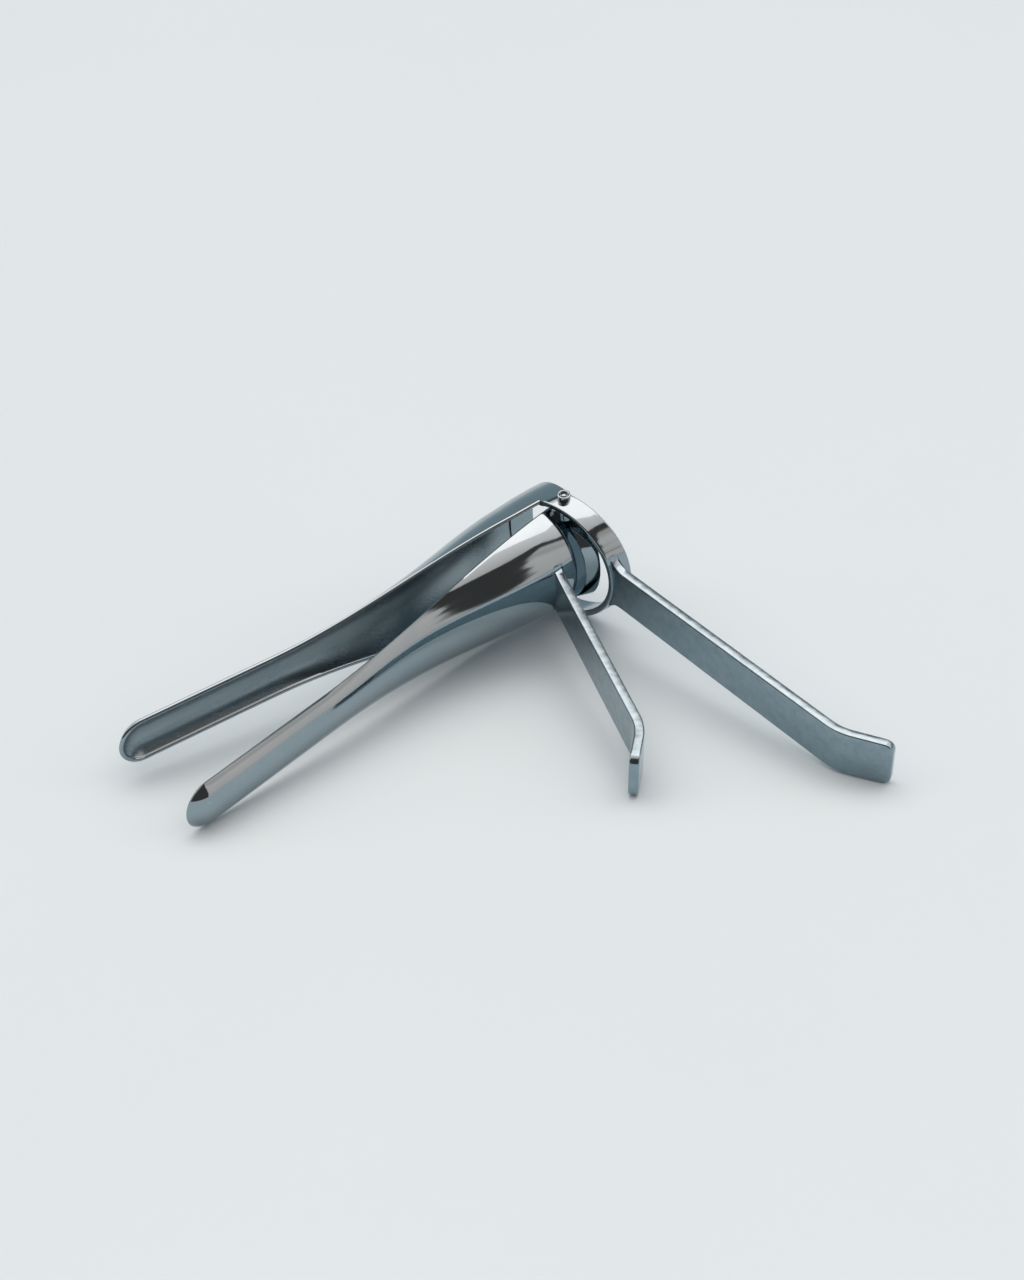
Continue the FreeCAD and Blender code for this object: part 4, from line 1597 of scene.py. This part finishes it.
class Instrument:
    """The two halves with their finishes."""

    heading = Vector((-0.82372333, -0.5612442, -0.0805284))
    opening = 12.0
    clean = (0.30, 0.362, 0.392)
    filmed = (0.27, 0.34, 0.375)
    finishes = (
        MetalFinish("blade_chrome", clean, filmed),
        MetalFinish("collar_chrome", clean, filmed),
        MetalFinish(
            "handle_chrome", (0.28, 0.36, 0.40), (0.22, 0.305, 0.35), film_size=420.0, roughness=0.10,
            film_roughness=0.08, line_roughness=0.05, ripple=0.06, ripple_size=300.0,
        ),
        MetalFinish("rivet_steel", (0.36, 0.41, 0.44), (0.30, 0.35, 0.38), roughness=0.12, density=12.0),
    )

    def __init__(self, joint: dict[str, Any]) -> None:
        """Makes the frames of both halves and the finishes.

        Args:
            joint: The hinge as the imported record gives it.
        """
        hinge, axis = joint["pos_m"], joint["axis"]
        self.rear = HalfFrame.about_hinge(joint["parent"], hinge, axis, self.heading, 0.0)
        self.front = HalfFrame.about_hinge(joint["child"], hinge, axis, self.heading, self.opening)
        effects = Effects()
        self.materials = {finish.name: finish.build(effects) for finish in self.finishes}

    def dress(self, made: bpy.types.Object, slot: str, half: HalfFrame, node: str) -> None:
        """Gives a piece its finish and puts it on its body.

        Args:
            made: The piece.
            slot: Material slot of the record, which is also its finish's name.
            half: Half that it rides on.
            node: CAD node that it stands for.
        """
        made.data.materials.clear()
        made.data.materials.append(self.materials[slot])
        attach(made, half.body)
        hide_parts(node)
        LOG.info("%s stands for %s with %d faces", made.name, node, len(made.data.polygons))

    def build(self) -> None:
        """Builds every piece."""
        rear, front, front_blade = self.rear, self.front, FrontBlade()
        for piece, slot, half, node in (
            (RearBlade(), "blade_chrome", rear, "rear_blade"),
            (Collar(), "collar_chrome", rear, "rear_collar"),
            (front_blade, "blade_chrome", front, "front_blade"),
            (self.rear_strap(), "handle_chrome", rear, "rear_handle"),
            (self.front_strap(front_blade.trough), "handle_chrome", front, "front_handle"),
        ):
            self.dress(piece.build(half), slot, half, node)
        for sign, label in ((1, "upper"), (-1, "lower")):
            for node, made in Rivet().build(rear, sign, label).items():
                self.dress(made, "rivet_steel", rear, node)

    @staticmethod
    def rear_strap() -> HandleStrap:
        """Long handle, seated on the collar.

        Returns:
            The strap.
        """
        lean, offset, ring = 97.7, 1.75, 18.22

        def seat(across: float, height: float) -> float:
            """Station where the strap meets the collar."""
            level = math.sqrt(ring ** 2 - height ** 2)
            turn = math.radians(lean)
            return (level - (offset + across) * math.cos(turn)) / math.sin(turn)

        return HandleStrap(
            "rear_strap", bend_side=Side.FRONT, lean=lean, offset=offset, length=91.6,
            end_length=10.6, end_angle=27.0, hub=0.0, hub_radius=18.2, seat=seat, flare=5.5,
        )

    @staticmethod
    def front_strap(trough: Trough) -> HandleStrap:
        """Short handle, seated on the front blade.

        Args:
            trough: Wall of the front blade.

        Returns:
            The strap.
        """
        lean, offset, gap = 63.0, -5.85, 0.02
        span, halvings = (2.0, 30.0), 40

        def seat(across: float, height: float) -> float:
            """Station where the strap meets the blade, found by halving a span."""
            turn = math.radians(lean)
            low, high = span
            for _ in range(halvings):
                middle = (low + high) / 2
                x = middle * math.cos(turn) - (offset + across) * math.sin(turn)
                y = middle * math.sin(turn) + (offset + across) * math.cos(turn)
                inside = y < trough.surface_level(x, height) + gap
                low, high = (middle, high) if inside else (low, middle)
            return high

        return HandleStrap(
            "front_strap", bend_side=Side.REAR, lean=lean, offset=offset, length=66.0,
            end_length=8.4, end_angle=29.0, hub=-2.4, hub_radius=15.2, seat=seat,
        )


def write_sizes(before: object, after: object) -> None:
    """Writes the boxes of the CAD model and of the visual model.

    Args:
        before: Lowest and highest corners of the CAD model.
        after: Lowest and highest corners of the visual model.
    """
    boxes = {"cad": before, "visual": after}
    plain = {
        name: [[float(part) for part in corner] for corner in box] for name, box in boxes.items()
    }
    LOG.info("sizes %s", plain)


def main() -> None:
    """Builds the scene."""
    logging.basicConfig(level=logging.INFO, format="%(message)s")
    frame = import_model()
    cad_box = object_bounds()
    Instrument(frame["joints"][0]).build()
    Studio().build()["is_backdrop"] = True
    bpy.context.scene.view_settings.view_transform = "Standard"
    write_sizes(cad_box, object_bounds())


if __name__ == "__main__":
    main()
